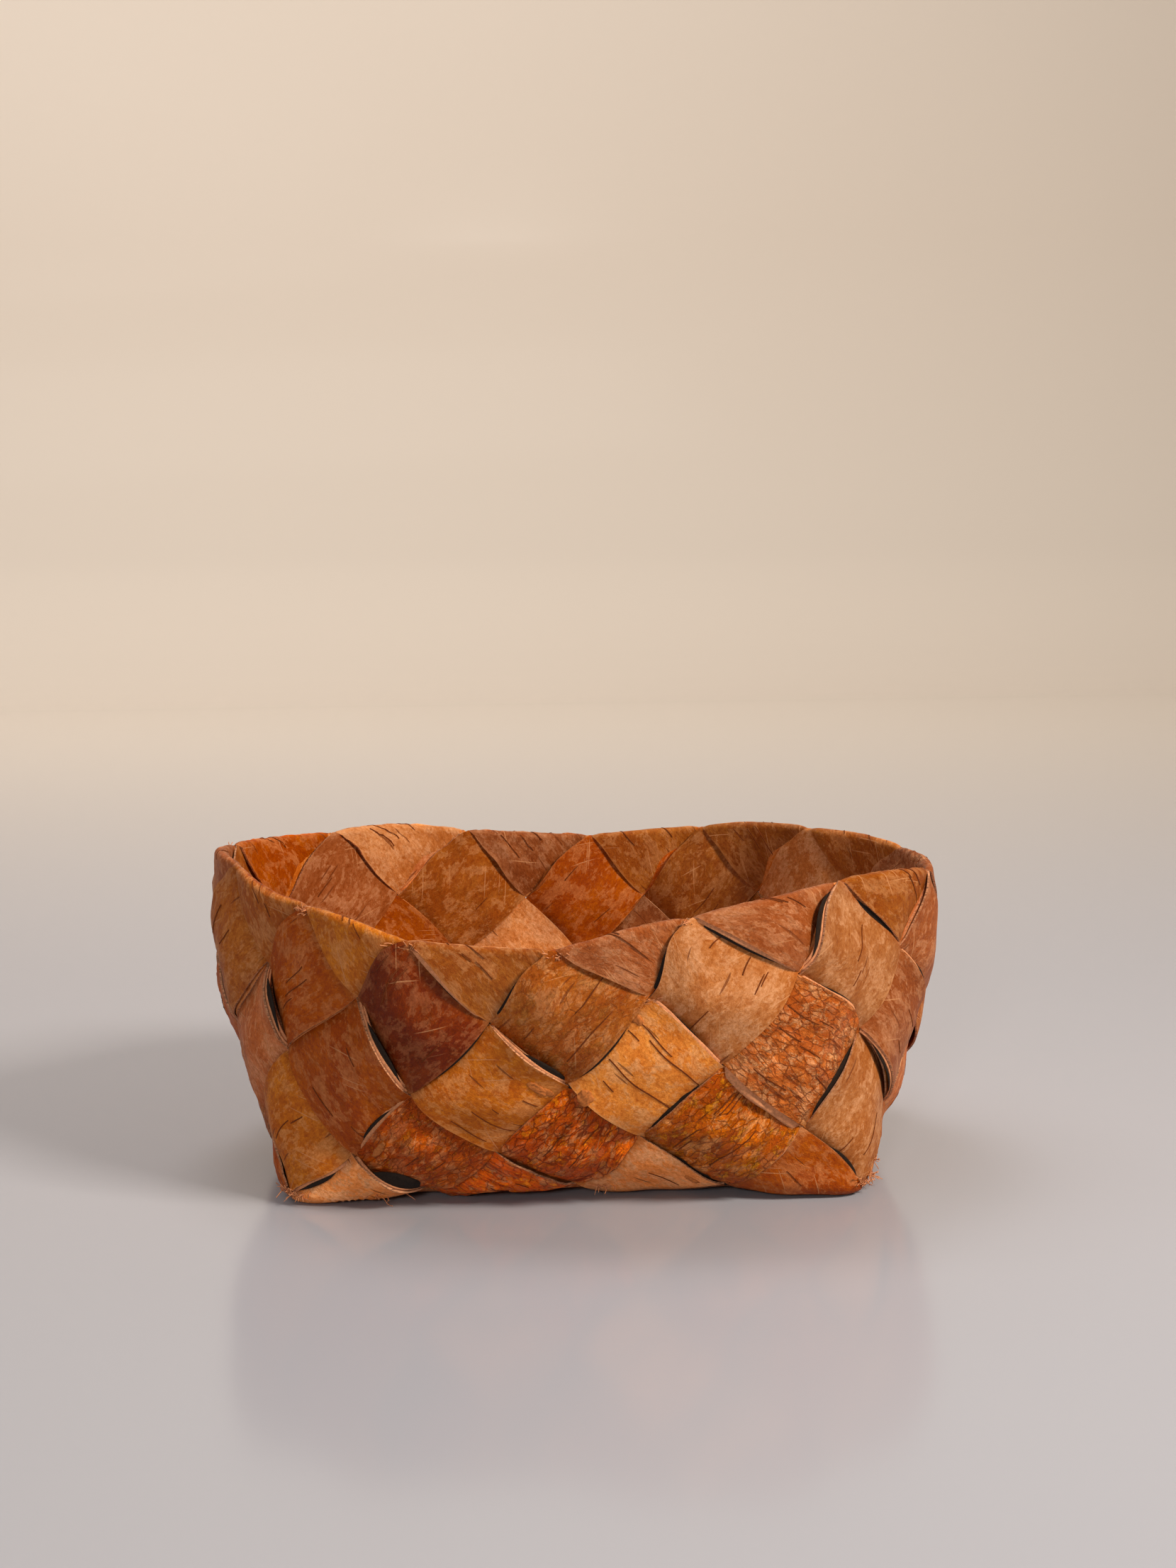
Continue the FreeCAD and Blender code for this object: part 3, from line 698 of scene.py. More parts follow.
def fading(name, near, far):
    """The finish of the table, whose colour fades into the backdrop's."""
    finish = Finish(name)
    place = finish.node("ShaderNodeTexCoord", output="Object")
    depth = finish.node("ShaderNodeSeparateXYZ", {0: place}).part("Y")
    colour = finish.mix(depth.above(*TABLE_FADE), opaque(near), opaque(far))
    return finish.surface(base_color=colour, roughness=TABLE_ROUGHNESS)


def wall_at(around):
    """The number of the wall that each place is on, and the place's share of that wall."""
    place = np.mod(around, AROUND)
    wall = np.searchsorted(WALL_FIRST, place, side="right") - 1
    return wall, (place - WALL_FIRST[wall]) / WALL_COUNT[wall]


def bow(share):
    """A shallow arch over a side: 0 at both ends and 1 halfway."""
    return 1 - (2 * share - 1) ** 2


def smooth(share):
    """A smooth step from 0 to 1."""
    share = np.clip(share, 0, 1)
    return share * share * (3 - 2 * share)


class BoxShape:
    """The middle layer of the whole box as one surface: arrays of places in, arrays of points out."""

    def __init__(self, sizes):
        self.sizes = sizes
        self.diagonal = sizes.strip_pitch * math.sqrt(2)
        self.layer = (sizes.bark_thickness + sizes.layer_clearance) / 2
        self.half = np.array((LONG, WIDE)) * self.diagonal / 2
        self.base = self.layer + sizes.bark_thickness / 2
        self.belly = np.array((sizes.rim_belly_side, sizes.rim_belly_end) * 2)
        self.rim_places = np.array((
            0, FRONT_LOW_SHARE * LONG, LONG, LONG + WIDE / 2, LONG + WIDE, LONG + WIDE + LONG / 2,
            2 * LONG + WIDE, 2 * LONG + WIDE + WIDE / 2, AROUND))
        self.rim_heights = np.array((
            sizes.height_front_left, sizes.height_front_low, sizes.height_front_right,
            sizes.height_right, sizes.height_back_right, sizes.height_back,
            sizes.height_back_left, sizes.height_left, sizes.height_front_left))

    def rim_height(self, around):
        """The height of the rim at each place around the box."""
        place = np.mod(around, AROUND)
        step = np.searchsorted(self.rim_places, place, side="right") - 1
        step = np.clip(step, 0, len(self.rim_places) - 2)
        share = (place - self.rim_places[step]) / (self.rim_places[step + 1] - self.rim_places[step])
        low = self.rim_heights[step]
        return low + (self.rim_heights[step + 1] - low) * (1 - np.cos(np.pi * share)) / 2

    def plan(self, x, y):
        """Spots of the base in plan. Near a corner they are drawn in, which rounds the corner."""
        near_x = np.minimum(x, LONG - x)
        near_y = np.minimum(y, WIDE - y)
        away = np.abs(near_x) + np.abs(near_y)
        pull = self.sizes.corner_pull / math.sqrt(2) * np.clip(1 - away / CORNER_ROUND, 0, 1) ** 2
        px = x * self.diagonal - self.half[0] + np.where(2 * x < LONG, pull, -pull)
        py = y * self.diagonal - self.half[1] + np.where(2 * y < WIDE, pull, -pull)
        return np.stack((px, py), axis=-1)

    def base_outline(self, around):
        """The base's edge in plan."""
        wall, share = wall_at(around)
        spot = WALL_START[wall] + WALL_ALONG[wall] * (WALL_COUNT[wall] * share)[:, None]
        return self.plan(spot[:, 0], spot[:, 1])

    def rim_outline(self, around):
        """The rim in plan: a rectangle with large round corners and bowed sides."""
        wall, share = wall_at(around)
        half_length = self.half[0] + self.sizes.rim_flare_end
        lengthwise = wall % 2 == 0
        half_along = np.where(lengthwise, half_length, self.half[1])
        half_out = np.where(lengthwise, self.half[1], half_length)
        radius = min(self.sizes.rim_corner_radius, self.half[1])
        arc = math.pi / 4 * radius
        straight = 2 * (half_along - radius)
        walked = share * (straight + 2 * arc)
        turn = (np.minimum(walked - arc, 0) + np.maximum(walked - arc - straight, 0)) / radius
        bent = np.sign(turn) * straight / 2 + radius * np.sin(turn)
        middle = np.where(turn == 0, walked - arc - straight / 2, bent)
        depth = half_out - radius + radius * np.cos(turn) + self.belly[wall] * bow(share)
        spot = WALL_ALONG[wall] * middle[:, None] + WALL_OUT[wall] * depth[:, None]
        return spot - np.array((0, self.sizes.rim_shift_front))

    def edge_round(self, share, inside):
        """Lift and inset of the rounded edge of the base."""
        fade = np.clip(1 - inside / EDGE_ROUND, 0, 1) ** 2
        corner = self.sizes.edge_lift_corner
        lift = corner + (self.sizes.edge_lift_middle - corner) * bow(share)
        return lift * fade, self.sizes.edge_inset_middle * bow(share) * fade

    def wall_points(self, around, up):
        """Points of the walls, at places around the box and up it."""
        share_up = up / WALL
        swell = 1 - np.maximum(0, 1 - share_up) ** WALL_BOW_POWER
        turn = 2 * np.pi * SLIP_WAVES * (around - SLIP_START) / AROUND
        around = around - self.sizes.weave_slip / self.diagonal * np.sin(turn) * share_up
        low = self.base_outline(around)
        plan = low + (self.rim_outline(around) - low) * swell[:, None]
        height = self.base + (self.rim_height(around) - self.base) * share_up
        wall, share = wall_at(around)
        lift, inset = self.edge_round(share, up)
        plan = plan - WALL_OUT[wall] * inset[:, None]
        return np.column_stack((plan, height + lift))

    def base_points(self, x, y):
        """Points of the base."""
        x = np.clip(x, 0, LONG)
        y = np.clip(y, 0, WIDE)
        best = np.zeros(len(x))
        move = np.zeros((len(x), 2))
        for wall in range(len(WALL_COUNT)):
            beyond = np.column_stack((x, y)) - WALL_START[wall]
            inside = -(beyond @ WALL_OUT[wall])
            share = beyond @ WALL_ALONG[wall] / WALL_COUNT[wall]
            lift, inset = self.edge_round(np.clip(share, 0, 1), np.maximum(inside, 0))
            more = lift > best
            best = np.where(more, lift, best)
            move = np.where(more[:, None], -WALL_OUT[wall] * inset[:, None], move)
        return np.column_stack((self.plan(x, y) + move, self.base + best))

    def points(self, wall, along, up):
        """Points laid out flat from their walls: along the wall, and up it or in under it."""
        on_wall = self.wall_points(WALL_FIRST[wall] + along, np.maximum(up, 0))
        spot = WALL_START[wall] + WALL_ALONG[wall] * along[:, None] + WALL_OUT[wall] * up[:, None]
        below = self.base_points(spot[:, 0], spot[:, 1])
        return np.where((up >= 0)[:, None], on_wall, below)

    def frames(self, wall, along, up):
        """Points of the softened surface, the way out of the box there, and the way up."""
        reach = len(SOFTEN_UP) // 2 + 1
        grid = {}
        for side in range(-2, 3):
            for rise in range(-reach, reach + 1):
                grid[side, rise] = self.points(wall, along + side * SOFTEN_STEP, up + rise * SOFTEN_STEP)

        def softened(side, rise):
            total = 0
            for i, part in enumerate(SOFTEN_ALONG):
                for j, share in enumerate(SOFTEN_UP):
                    total = total + part * share * grid[side + i - 1, rise + j - len(SOFTEN_UP) // 2]
            return total

        across = softened(1, 0) - softened(-1, 0)
        rise = softened(0, 1) - softened(0, -1)
        out = np.cross(across, rise)
        out /= np.linalg.norm(out, axis=1)[:, None]
        rise /= np.linalg.norm(rise, axis=1)[:, None]
        return softened(0, 0), out, rise


def nudged(around, up):
    """How far the weave's uneven crossings move each point."""
    move = np.zeros((len(around), 3))
    for place, height, right, rise in NUDGES:
        beside = np.mod(around - place + AROUND / 2, AROUND) - AROUND / 2
        first = smooth(1 - np.abs(beside + up - height))
        second = smooth(1 - np.abs(beside - up + height))
        move += (first * second)[:, None] * np.array((right, 0, rise)) / 1000
    return move


class Strip:
    """One strip of bark: its run across the base and what it does at each end. Places along it are
    counted in cells from where it leaves the first wall, and sideways ones in its own pitch."""

    def __init__(self, name, number, start, way):
        self.name = name
        self.number = number
        self.start = start
        self.way = way
        reach_x = start[0] if way[0] < 0 else LONG - start[0]
        reach_y = WIDE - start[1]
        self.cells = round(2 * min(reach_x, reach_y))
        behind, ahead = (1, 3) if way[0] < 0 else (3, 1)
        walls = (0 if start[1] == 0 else behind, 2 if reach_y <= reach_x else ahead)
        ways = ((-way[0], -way[1]), way)
        self.ends = [(wall, self.climb(wall, way)) for wall, way in zip(walls, ways)]
        self.first = -FOLD_ROWS - self.return_cells(0)
        self.last = self.cells + FOLD_ROWS + self.return_cells(1)

    @staticmethod
    def climb(wall, way):
        """Which way the strip leans as it climbs a wall, seen from outside."""
        return "right" if WALL_ALONG[wall] @ way > 0 else "left"

    def laid_flat(self, wall, place, sideways):
        """Places along a wall and up it, negative inside the base."""
        x = self.start[0] + (place * self.way[0] - sideways * self.way[1]) / 2 - WALL_START[wall][..., 0]
        y = self.start[1] + (place * self.way[1] + sideways * self.way[0]) / 2 - WALL_START[wall][..., 1]
        along = x * WALL_ALONG[wall][..., 0] + y * WALL_ALONG[wall][..., 1]
        return along, x * WALL_OUT[wall][..., 0] + y * WALL_OUT[wall][..., 1]

    def near(self, cell):
        """The end that a cell belongs to, and its cells up from the base's edge."""
        return (0, -cell) if cell <= self.cells / 2 else (1, cell - self.cells)

    def return_cells(self, end):
        """Cells covered after the fold over the rim."""
        wall, climb = self.ends[end]
        if climb == "left":
            return len(RETURN_LAYERS[climb]) - 1
        along = self.laid_flat(wall, self.cells if end else 0, 0)[0]
        landing = (WALL_FIRST[wall] + along + 2 * WALL + 0.5) % AROUND
        return FOLD_ROWS if landing in WALL_FIRST else FOLD_ROWS + 1

    def layer(self, cell, returned):
        """The strip's layer in a cell, in half layers outward."""
        end, cells_up = self.near(cell)
        climb = self.ends[end][1]
        row = abs(FOLD_ROWS - cells_up)
        layers = RETURN_LAYERS[climb] if returned else FIRST_LAYERS[climb]
        if row < len(layers):
            return layers[row]
        return 1 if (row % 2 == 1) == (climb == "right") else -1

    def landing(self, cell):
        """The wall that a cell lies on, where it is laid out from."""
        end, cells_up = self.near(cell)
        wall = self.ends[end][0]
        if cells_up <= FOLD_ROWS:
            return wall
        middle = self.laid_flat(wall, cell, 0)[0]
        return int(wall_at(np.array([WALL_FIRST[wall] + middle]))[0][0])

    def left_edge_low(self, cell, returned):
        """Whether the edge on the strip's minus side is the lower one on the wall."""
        wall = self.ends[self.near(cell)[0]][0]
        rising = self.laid_flat(wall, cell, 0.5)[1] > self.laid_flat(wall, cell, -0.5)[1]
        return rising != returned

    def face(self, cell, returned):
        """The side of the box that a cell shows on: 1 outside, -1 inside, 0 when another covers it."""
        cells_up = self.near(cell)[1]
        row = abs(FOLD_ROWS - cells_up)
        if row and (cells_up > FOLD_ROWS) != returned:
            return 0
        layer = self.layer(cell, returned)
        if abs(layer) > 1:
            return 1 if layer > 0 else -1
        return 1 if layer > 0 and row in (3, 4) and returned == (row == 4) else 0

    def looks(self, cell):
        """The outside place of a cell: its row down from the rim and its place around the box."""
        end, cells_up = self.near(cell)
        wall = self.ends[end][0]
        along = self.laid_flat(wall, cell, 0)[0]
        around = (WALL_FIRST[wall] + along + 2) % AROUND - 2
        return abs(FOLD_ROWS - cells_up), round(2 * around) / 2


def flat_strip(strip):
    """The strip cut out and laid flat, one cell to a unit, with lines where it folds at the rim."""
    bm = bmesh.new()
    cells = strip.last - strip.first + 1
    bmesh.ops.create_grid(bm, x_segments=cells * CELL_SQUARES, y_segments=CELL_SQUARES, size=0.5)
    bmesh.ops.scale(bm, vec=(cells, 1, 1), verts=bm.verts)
    bmesh.ops.translate(bm, vec=((strip.first + strip.last) / 2, 0, 0), verts=bm.verts)
    for end in (0, 1):
        wall = strip.ends[end][0]
        start = strip.laid_flat(wall, 0.0, 0.0)[1]
        slope = strip.laid_flat(wall, 1.0, 0.0)[1] - start
        tilt = strip.laid_flat(wall, 0.0, 1.0)[1] - start
        for line in sorted({side * line for line in FOLD_LINES for side in (-1, 1)}):
            place = (WALL + line - start) / slope
            normal = Vector((slope, tilt, 0)).normalized()
            geom = bm.verts[:] + bm.edges[:] + bm.faces[:]
            bmesh.ops.bisect_plane(bm, geom=geom, dist=1e-5, plane_co=(place, 0, 0), plane_no=normal)
    return bm


def wander(strip, place, seed):
    """A slow wander of about -1 to 1 along a strip."""
    start = strip.number * 1.7 + seed * 5.1
    return (np.sin(0.9 * place + start) + 0.6 * np.sin(2.3 * place + 2.2 * start)) / 1.6


class Bending:
    """Bends a flat strip into the weave."""

    def __init__(self, strip, shape, flat):
        self.strip = strip
        self.shape = shape
        self.flat = flat
        sizes = shape.sizes
        place = flat[:, 0]
        cell = np.clip(np.floor(place + 0.5).astype(int), strip.first, strip.last)
        self.number = cell - strip.first
        self.rows = self.each_cell(lambda cell: strip.looks(cell)[0])
        width = 1 - sizes.strip_gap / sizes.strip_pitch
        in_cell = place - cell
        barrel = np.where(self.rows <= FOLD_ROWS, BARREL, 0) * (np.cos(np.pi * in_cell) - BARREL_MEAN)
        wide = width * (1 + WIDTH_WANDER * wander(strip, place, 1) + barrel)
        self.sideways = flat[:, 1] * wide + SIDE_WANDER * wander(strip, place, 2)
        moved = self.each_cell(lambda cell: SHIFTS.get((strip.name, cell), 0))
        self.sideways += moved * np.cos(np.pi * in_cell)
        self.wall = self.each_cell(lambda cell: strip.ends[strip.near(cell)[0]][0])
        along, up = strip.laid_flat(self.wall, place, self.sideways)
        self.climbing = self.each_cell(lambda cell: strip.near(cell)[1] > 0)
        self.returned = self.climbing & (up > WALL)
        along += np.where(self.returned, RETURN_WANDER * wander(strip, 2 * place, 3), 0)
        landing = self.each_cell(strip.landing)
        around = WALL_FIRST[self.wall] + along
        landed = np.mod(around - WALL_FIRST[landing] + AROUND / 2, AROUND) - AROUND / 2
        self.along = np.where(self.returned, landed, along)
        self.wall = np.where(self.returned, landing, self.wall)
        self.raw_up = up
        self.up = np.where(self.returned, 2 * WALL - up, up)
        self.in_cell = in_cell

    def each_cell(self, value):
        """A value of each cell, found by a function, for all points."""
        cells = range(self.strip.first, self.strip.last + 1)
        return np.array([value(cell) for cell in cells])[self.number]

    def per_cell(self, first, back):
        """Values of the cells on the strip's way up and back, blended where one cell passes to the
        next."""
        first, back = np.asarray(first, float), np.asarray(back, float)
        chosen = self.returned.reshape((-1,) + (1,) * (first.ndim - 1))
        here = np.where(chosen, back[self.number], first[self.number])
        step = np.sign(self.in_cell).astype(int)
        beside = np.clip(self.number + step, 0, len(first) - 1)
        other = np.where(chosen, back[beside], first[beside])
        blend = smooth((np.abs(self.in_cell) - 0.5 + CELL_BLEND) / (2 * CELL_BLEND))
        return here + (other - here) * blend.reshape(chosen.shape)

    def offsets(self, crinkle, details):
        """How far out of the middle layer each point lies."""
        strip, sizes = self.strip, self.shape.sizes
        cells = range(strip.first, strip.last + 1)
        first = np.array([strip.layer(cell, False) for cell in cells])
        back = np.array([strip.layer(cell, True) for cell in cells])
        arch = np.where(self.rows < FOLD_ROWS, sizes.crown, sizes.base_crown)
        arch = np.where(self.rows == FOLD_ROWS, sizes.edge_crown, arch)
        arch = np.where(self.rows == 0, RIM_ROW_CROWN * arch, arch)
        swing = self.each_cell(lambda cell: math.sin(7.3 * cell + 2.9 * strip.number))
        arch = arch * (1 + CROWN_SWING * swing)
        layers = np.where(self.returned, back[self.number], first[self.number])
        arch = arch * np.where(np.abs(layers) > 1, OUTER_CROWN, MIDDLE_CROWN)
        run = np.cos(np.pi * np.clip(self.in_cell, -0.5, 0.5))
        side = np.cos(np.pi * np.clip(self.sideways, -0.5, 0.5))
        crown = arch * run * (EDGE_CROWN_SHARE + (1 - EDGE_CROWN_SHARE) * side)
        from_fold = smooth(np.abs(self.raw_up - WALL) / RIM_FLAT)
        crown = crown * (RIM_CROWN_SHARE + (1 - RIM_CROWN_SHARE) * from_fold)
        flakes = self.per_cell(*details["flake"]).max(axis=1)
        crinkles = crinkle * flakes * sizes.crinkle * (CALM_SHARE + (1 - CALM_SHARE) * run)
        curl = self.curl(details["curl"]) * run
        around = WALL_FIRST[self.wall] + self.along
        waves = math.prod(np.sin(along * around + up * self.up) for along, up in WAVES)
        crinkles = crinkles + waves * sizes.unevenness * (CALM_SHARE + (1 - CALM_SHARE) * from_fold)
        outward = np.sign(layers)
        return self.shape.layer * self.per_cell(first, back) + outward * (crown + curl) + crinkles, outward

    def curl(self, curls):
        """Free edges that stand up: curls has, for each cell, the two edges' heights."""
        heights = np.where(self.returned[:, None], curls[1][self.number], curls[0][self.number]) / 1000
        lip = np.minimum(np.abs(2 * self.sideways), 1) ** 4
        return lip * np.where(self.sideways > 0, heights[:, 1], heights[:, 0])

    def bent(self, crinkle, details, above=0):
        """The strip's points, bent into place. above lifts them off its middle, towards the side that
        the cell stands out to."""
        offset, outward = self.offsets(crinkle, details)
        offset = offset + outward * above
        diagonal = self.shape.diagonal
        away = np.abs(self.raw_up - WALL) * diagonal
        size = np.abs(offset)
        quarter = math.pi / 2 * size
        reach = FOLD_REACH * diagonal
        near = self.climbing & (away < reach)
        eased = np.maximum(away - quarter, 0) * reach / (reach - quarter)
        up = np.where(near, WALL - eased / diagonal, self.up)
        points, out, rise = self.shape.frames(self.wall, self.along, up)
        points = points + nudged(WALL_FIRST[self.wall] + self.along, up) * (up >= 0)[:, None]
        folding = self.climbing & (away < quarter)
        angle = math.pi / 2 * (1 - away / np.maximum(quarter, 1e-9))
        side = np.where(self.returned, 1.0, -1.0)
        turned = out * (side * np.cos(angle) * size)[:, None] + rise * (np.sin(angle) * size)[:, None]
        points = points + np.where(folding[:, None], turned, out * offset[:, None])
        points[:, 2] = np.maximum(points[:, 2], self.shape.sizes.bark_thickness / 2)
        return points


def cell_details(strip, colours):
    """Colours, wear and curls of a strip's cells, for its way up and its way back."""
    sides = [np.array(getattr(colours, name)) for name in STRIP_COLOURS[strip.name]]
    found = {"smooth": [], "outer": [], "flake": [], "gloss": [], "curl": []}
    for returned in (False, True):
        rows = []
        for cell in range(strip.first, strip.last + 1):
            row, around = strip.looks(cell)
            shade = 1 + PLAIN_SWING * math.sin(5.1 * cell + 1.3 * strip.number)
            flaking = 0.5 + 0.4 * math.sin(3.7 * cell + strip.number)
            # Cells that show inside the box are painted darker, as shade.
            if strip.face(cell, returned) < 0:
                shade *= INSIDE_PAINTED_SHADE
            look = {"smooth": sides[0] * shade, "outer": sides[1] * shade, "gloss": PLAIN_GLOSS}
            look["curl"] = PLAIN_LIFT
            look["flake"] = tuple(share * flaking for share in PLAIN_FLAKES)
            if not strip.face(cell, returned):
                look["curl"], look["flake"] = (0, 0), (0, 0)
            elif strip.face(cell, returned) > 0 and (row, around) in CELLS:
                colour, shade, flake, look["gloss"], high, low = CELLS[row, around]
                look["outer" if row == 3 else "smooth"] = np.array(getattr(colours, colour)) * shade
                look["flake"] = (flake, flake)
                look["curl"] = (low, high) if strip.left_edge_low(cell, returned) else (high, low)
            rows.append(look)
        for key in found:
            found[key].append(np.array([look[key] for look in rows]))
    return found


def crinkled(strip, flat):
    """Crinkles of flaking bark, from about -1 to 1, at places of a flat strip."""
    along, across = CRINKLE_SCALE
    places = [Vector((x * along + 9 * strip.number, y * across, 0.0)) for x, y in flat]
    return np.array([noise.fractal(place, 0.6, 2.3, 5) for place in places])


def coloured(mesh, strip, bending, details):
    """Gives a strip's mesh its place on the bark and, for each side, its colour and wear, and its points'
    painted shade and light.
    """
    pitch = bending.shape.sizes.strip_pitch
    layer = mesh.uv_layers.new(name="Strip")
    corners = np.empty(len(mesh.loops), int)
    mesh.loops.foreach_get("vertex_index", corners)
    along = bending.flat[:, 0] * pitch + BARK_STEP * strip.number
    spots = np.column_stack((along, bending.sideways * pitch))
    layer.data.foreach_set("uv", spots[corners].ravel())
    full = np.ones((len(spots), 1))
    flakes = np.clip(bending.per_cell(*details["flake"]), 0, 1)
    gloss = bending.per_cell(*details["gloss"])[:, None]
    # Painted shade and light: each point is painted darker towards the strips that cross its cell, and
    # lighter on the crown of its cell than at the cell's edges. It reaches the shader in the blue of the
    # wear attribute.
    tucked = smooth((np.abs(bending.in_cell) - TUCKED_START) / (0.5 - TUCKED_START))
    lengthwise, sideways = (
        np.cos(np.pi * np.clip(share, -0.5, 0.5)) for share in (bending.in_cell, bending.sideways))
    crown_light = CROWN_LIGHT_LOW + (CROWN_LIGHT_HIGH - CROWN_LIGHT_LOW) * (lengthwise * sideways)
    shade = ((1 - TUCKED_PAINTED_SHADE * tucked) * crown_light)[:, None]
    for number, side in enumerate(("smooth", "outer")):
        looks = {"_tint": (bending.per_cell(*details[side]), full),
                 "_wear": (flakes[:, number:number + 1], gloss, shade, full)}
        for kind, values in looks.items():
            attribute = mesh.attributes.new(side + kind, "FLOAT_COLOR", "POINT")
            attribute.data.foreach_set("color", np.hstack(values).ravel())


def thickened(name, mesh, thickness):
    """A mesh as an object with its thickness, and the modifier that gives it."""
    mesh.shade_smooth()
    piece = bpy.data.objects.new(name, mesh)
    bpy.context.scene.collection.objects.link(piece)
    solidify = piece.modifiers.new("Thickness", "SOLIDIFY")
    solidify.thickness = thickness
    solidify.offset = 0
    return piece, solidify


def strip_piece(strip, shape, materials):
    """Makes a strip as a finished object, which takes the place of its solid."""
    name = strip.name + "_bark"
    bm = flat_strip(strip)
    mesh = bpy.data.meshes.new(name)
    bm.to_mesh(mesh)
    bm.free()
    flat = np.empty(len(mesh.vertices) * 3)
    mesh.vertices.foreach_get("co", flat)
    flat = flat.reshape(-1, 3)[:, :2]
    bending = Bending(strip, shape, flat)
    details = cell_details(strip, bpy.context.scene.bark_box_colours)
    mesh.vertices.foreach_set("co", bending.bent(crinkled(strip, flat), details).ravel())
    coloured(mesh, strip, bending, details)
    for material in materials:
        mesh.materials.append(material)
    piece, solidify = thickened(name, mesh, shape.sizes.bark_thickness)
    solidify.material_offset = 1
    solidify.material_offset_rim = 2
    graph = bpy.context.evaluated_depsgraph_get()
    thick = bpy.data.meshes.new_from_object(piece.evaluated_get(graph), depsgraph=graph)
    thick.name = mesh.name
    piece.modifiers.clear()
    piece.data = thick
    thick.set_sharp_from_angle(angle=math.radians(SHARP_ANGLE))
    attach(piece, "root")
    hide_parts(strip.name)


def strips_that_run(way):
    """The seven strips that run one way across the base."""
    name, side = ("strip_to_back_left_%d", LONG) if way[0] < 0 else ("strip_to_back_right_%d", 0)
    starts = [(place + 0.5, 0) for place in range(LONG)] + [(side, place + 0.5) for place in range(WIDE)]
    offset = 0 if way[0] < 0 else len(starts)
    return [Strip(name % n, n + offset, start, way) for n, start in enumerate(starts, start=1)]


def faces():
    """The cells that show: strip, cell, whether returned, side of the box, row and place around."""
    for strip in strips_that_run(TO_BACK_LEFT) + strips_that_run(TO_BACK_RIGHT):
        for cell in range(strip.first, strip.last + 1):
            for returned in (False, True):
                side = strip.face(cell, returned)
                if side:
                    yield (strip, cell, returned, side) + strip.looks(cell)


def entries(table):
    """What a table of the front's cells holds: strip, cell, whether returned, and each entry."""
    for strip, cell, returned, side, row, around in faces():
        for entry in table.get((row, around), ()) if side > 0 else ():
            yield strip, cell, returned, entry


def to_flat(strip, shape, cell, returned, spots):
    """Spots given from a cell's middle, right and up on the wall in millimetres, on the flat strip."""
    # The middle of a cell of the rim is on the fold, so its places are found beside it.
    start, step = cell, 0.05
    if not strip.looks(cell)[0]:
        start += -0.2 if (strip.near(cell)[0] == 0) == returned else 0.2
    tries = Bending(strip, shape, np.array([(start, 0), (start + step, 0), (start, step)]))
    seen = np.column_stack((tries.along, tries.up))
    turn = np.column_stack((seen[1] - seen[0], seen[2] - seen[0])) / step
    return (cell, 0) + np.linalg.solve(turn, np.array(spots).T / (1000 * shape.diagonal)).T


def bent_patch(bm, strip, shape, corner, size, squares, above, taper=0.0, wavy=0.0, torn=0.0):
    """A grid laid on the flat strip and bent with it: its corner and size there, the number of its
    squares, how far above the strip's middle it lies, how much it narrows to its ends, how much it
    winds, and how far its torn surface stands up."""
    made = bmesh.ops.create_grid(bm, x_segments=squares[0], y_segments=squares[1], size=0.5)["verts"]
    spots = np.array([vert.co for vert in made])[:, :2]
    narrow = 1 - taper * np.abs(2 * spots[:, 0]) ** PATCH_NARROWING
    flat = np.column_stack((spots[:, 0], spots[:, 1] * narrow)) + 0.5
    flat = np.array(corner) + flat * np.array(size)
    flat[:, 1] += wavy * np.sin(PATCH_WAVES * flat[:, 0] + 3 * strip.number)
    if torn:
        places = [Vector((TORN_SCALE * x, TORN_SCALE * y, strip.number)) for x, y in flat]
        ragged = np.array([[noise.noise(place + shift) for shift in TORN_SHIFTS] for place in places])
        rim = np.abs(2 * spots).max(axis=1)
        flat += ragged[:, :2] * np.array(size) * TORN_RAGGED
        above = above + torn * (np.abs(ragged[:, 2]) * TORN_HIGH * (1 - rim ** 4) + TORN_LOW)
    details = cell_details(strip, bpy.context.scene.bark_box_colours)
    points = Bending(strip, shape, flat).bent(crinkled(strip, flat), details, above)
    for vert, point in zip(made, points):
        vert.co = point


def small_piece(name, bm, thickness, material):
    """Makes a finished object of small parts that lie on the strips."""
    mesh = bpy.data.meshes.new(name)
    bm.to_mesh(mesh)
    bm.free()
    mesh.materials.append(material)
    piece = thickened(name, mesh, thickness)[0]
    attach(piece, "root")


def bark_materials(colours):
    """The strips' materials, made once: the smooth side, the outer side and the cut edge."""
    names = ("bark_smooth_side", "bark_outer_side", "bark_cut_edge")
    found = [bpy.data.materials.get(name) for name in names]
    if all(found):
        return found
    return [bark(names[0], "smooth", colours), bark(names[1], "outer", colours), cut_edge(colours)]


def weave(scene, way):
    """Makes the seven strips that run one way."""
    shape = BoxShape(scene.bark_box_sizes)
    for strip in strips_that_run(way):
        strip_piece(strip, shape, bark_materials(scene.bark_box_colours))


class BARKBOX_OT_strips_back_left(bpy.types.Operator):
    """Weave the seven strips that run to the back left"""

    bl_idname = "barkbox.strips_back_left"
    bl_label = "Strips to the back left"

    def execute(self, context):
        weave(context.scene, TO_BACK_LEFT)
        return {"FINISHED"}


class BARKBOX_OT_strips_back_right(bpy.types.Operator):
    """Weave the seven strips that run to the back right"""

    bl_idname = "barkbox.strips_back_right"
    bl_label = "Strips to the back right"

    def execute(self, context):
        weave(context.scene, TO_BACK_RIGHT)
        return {"FINISHED"}


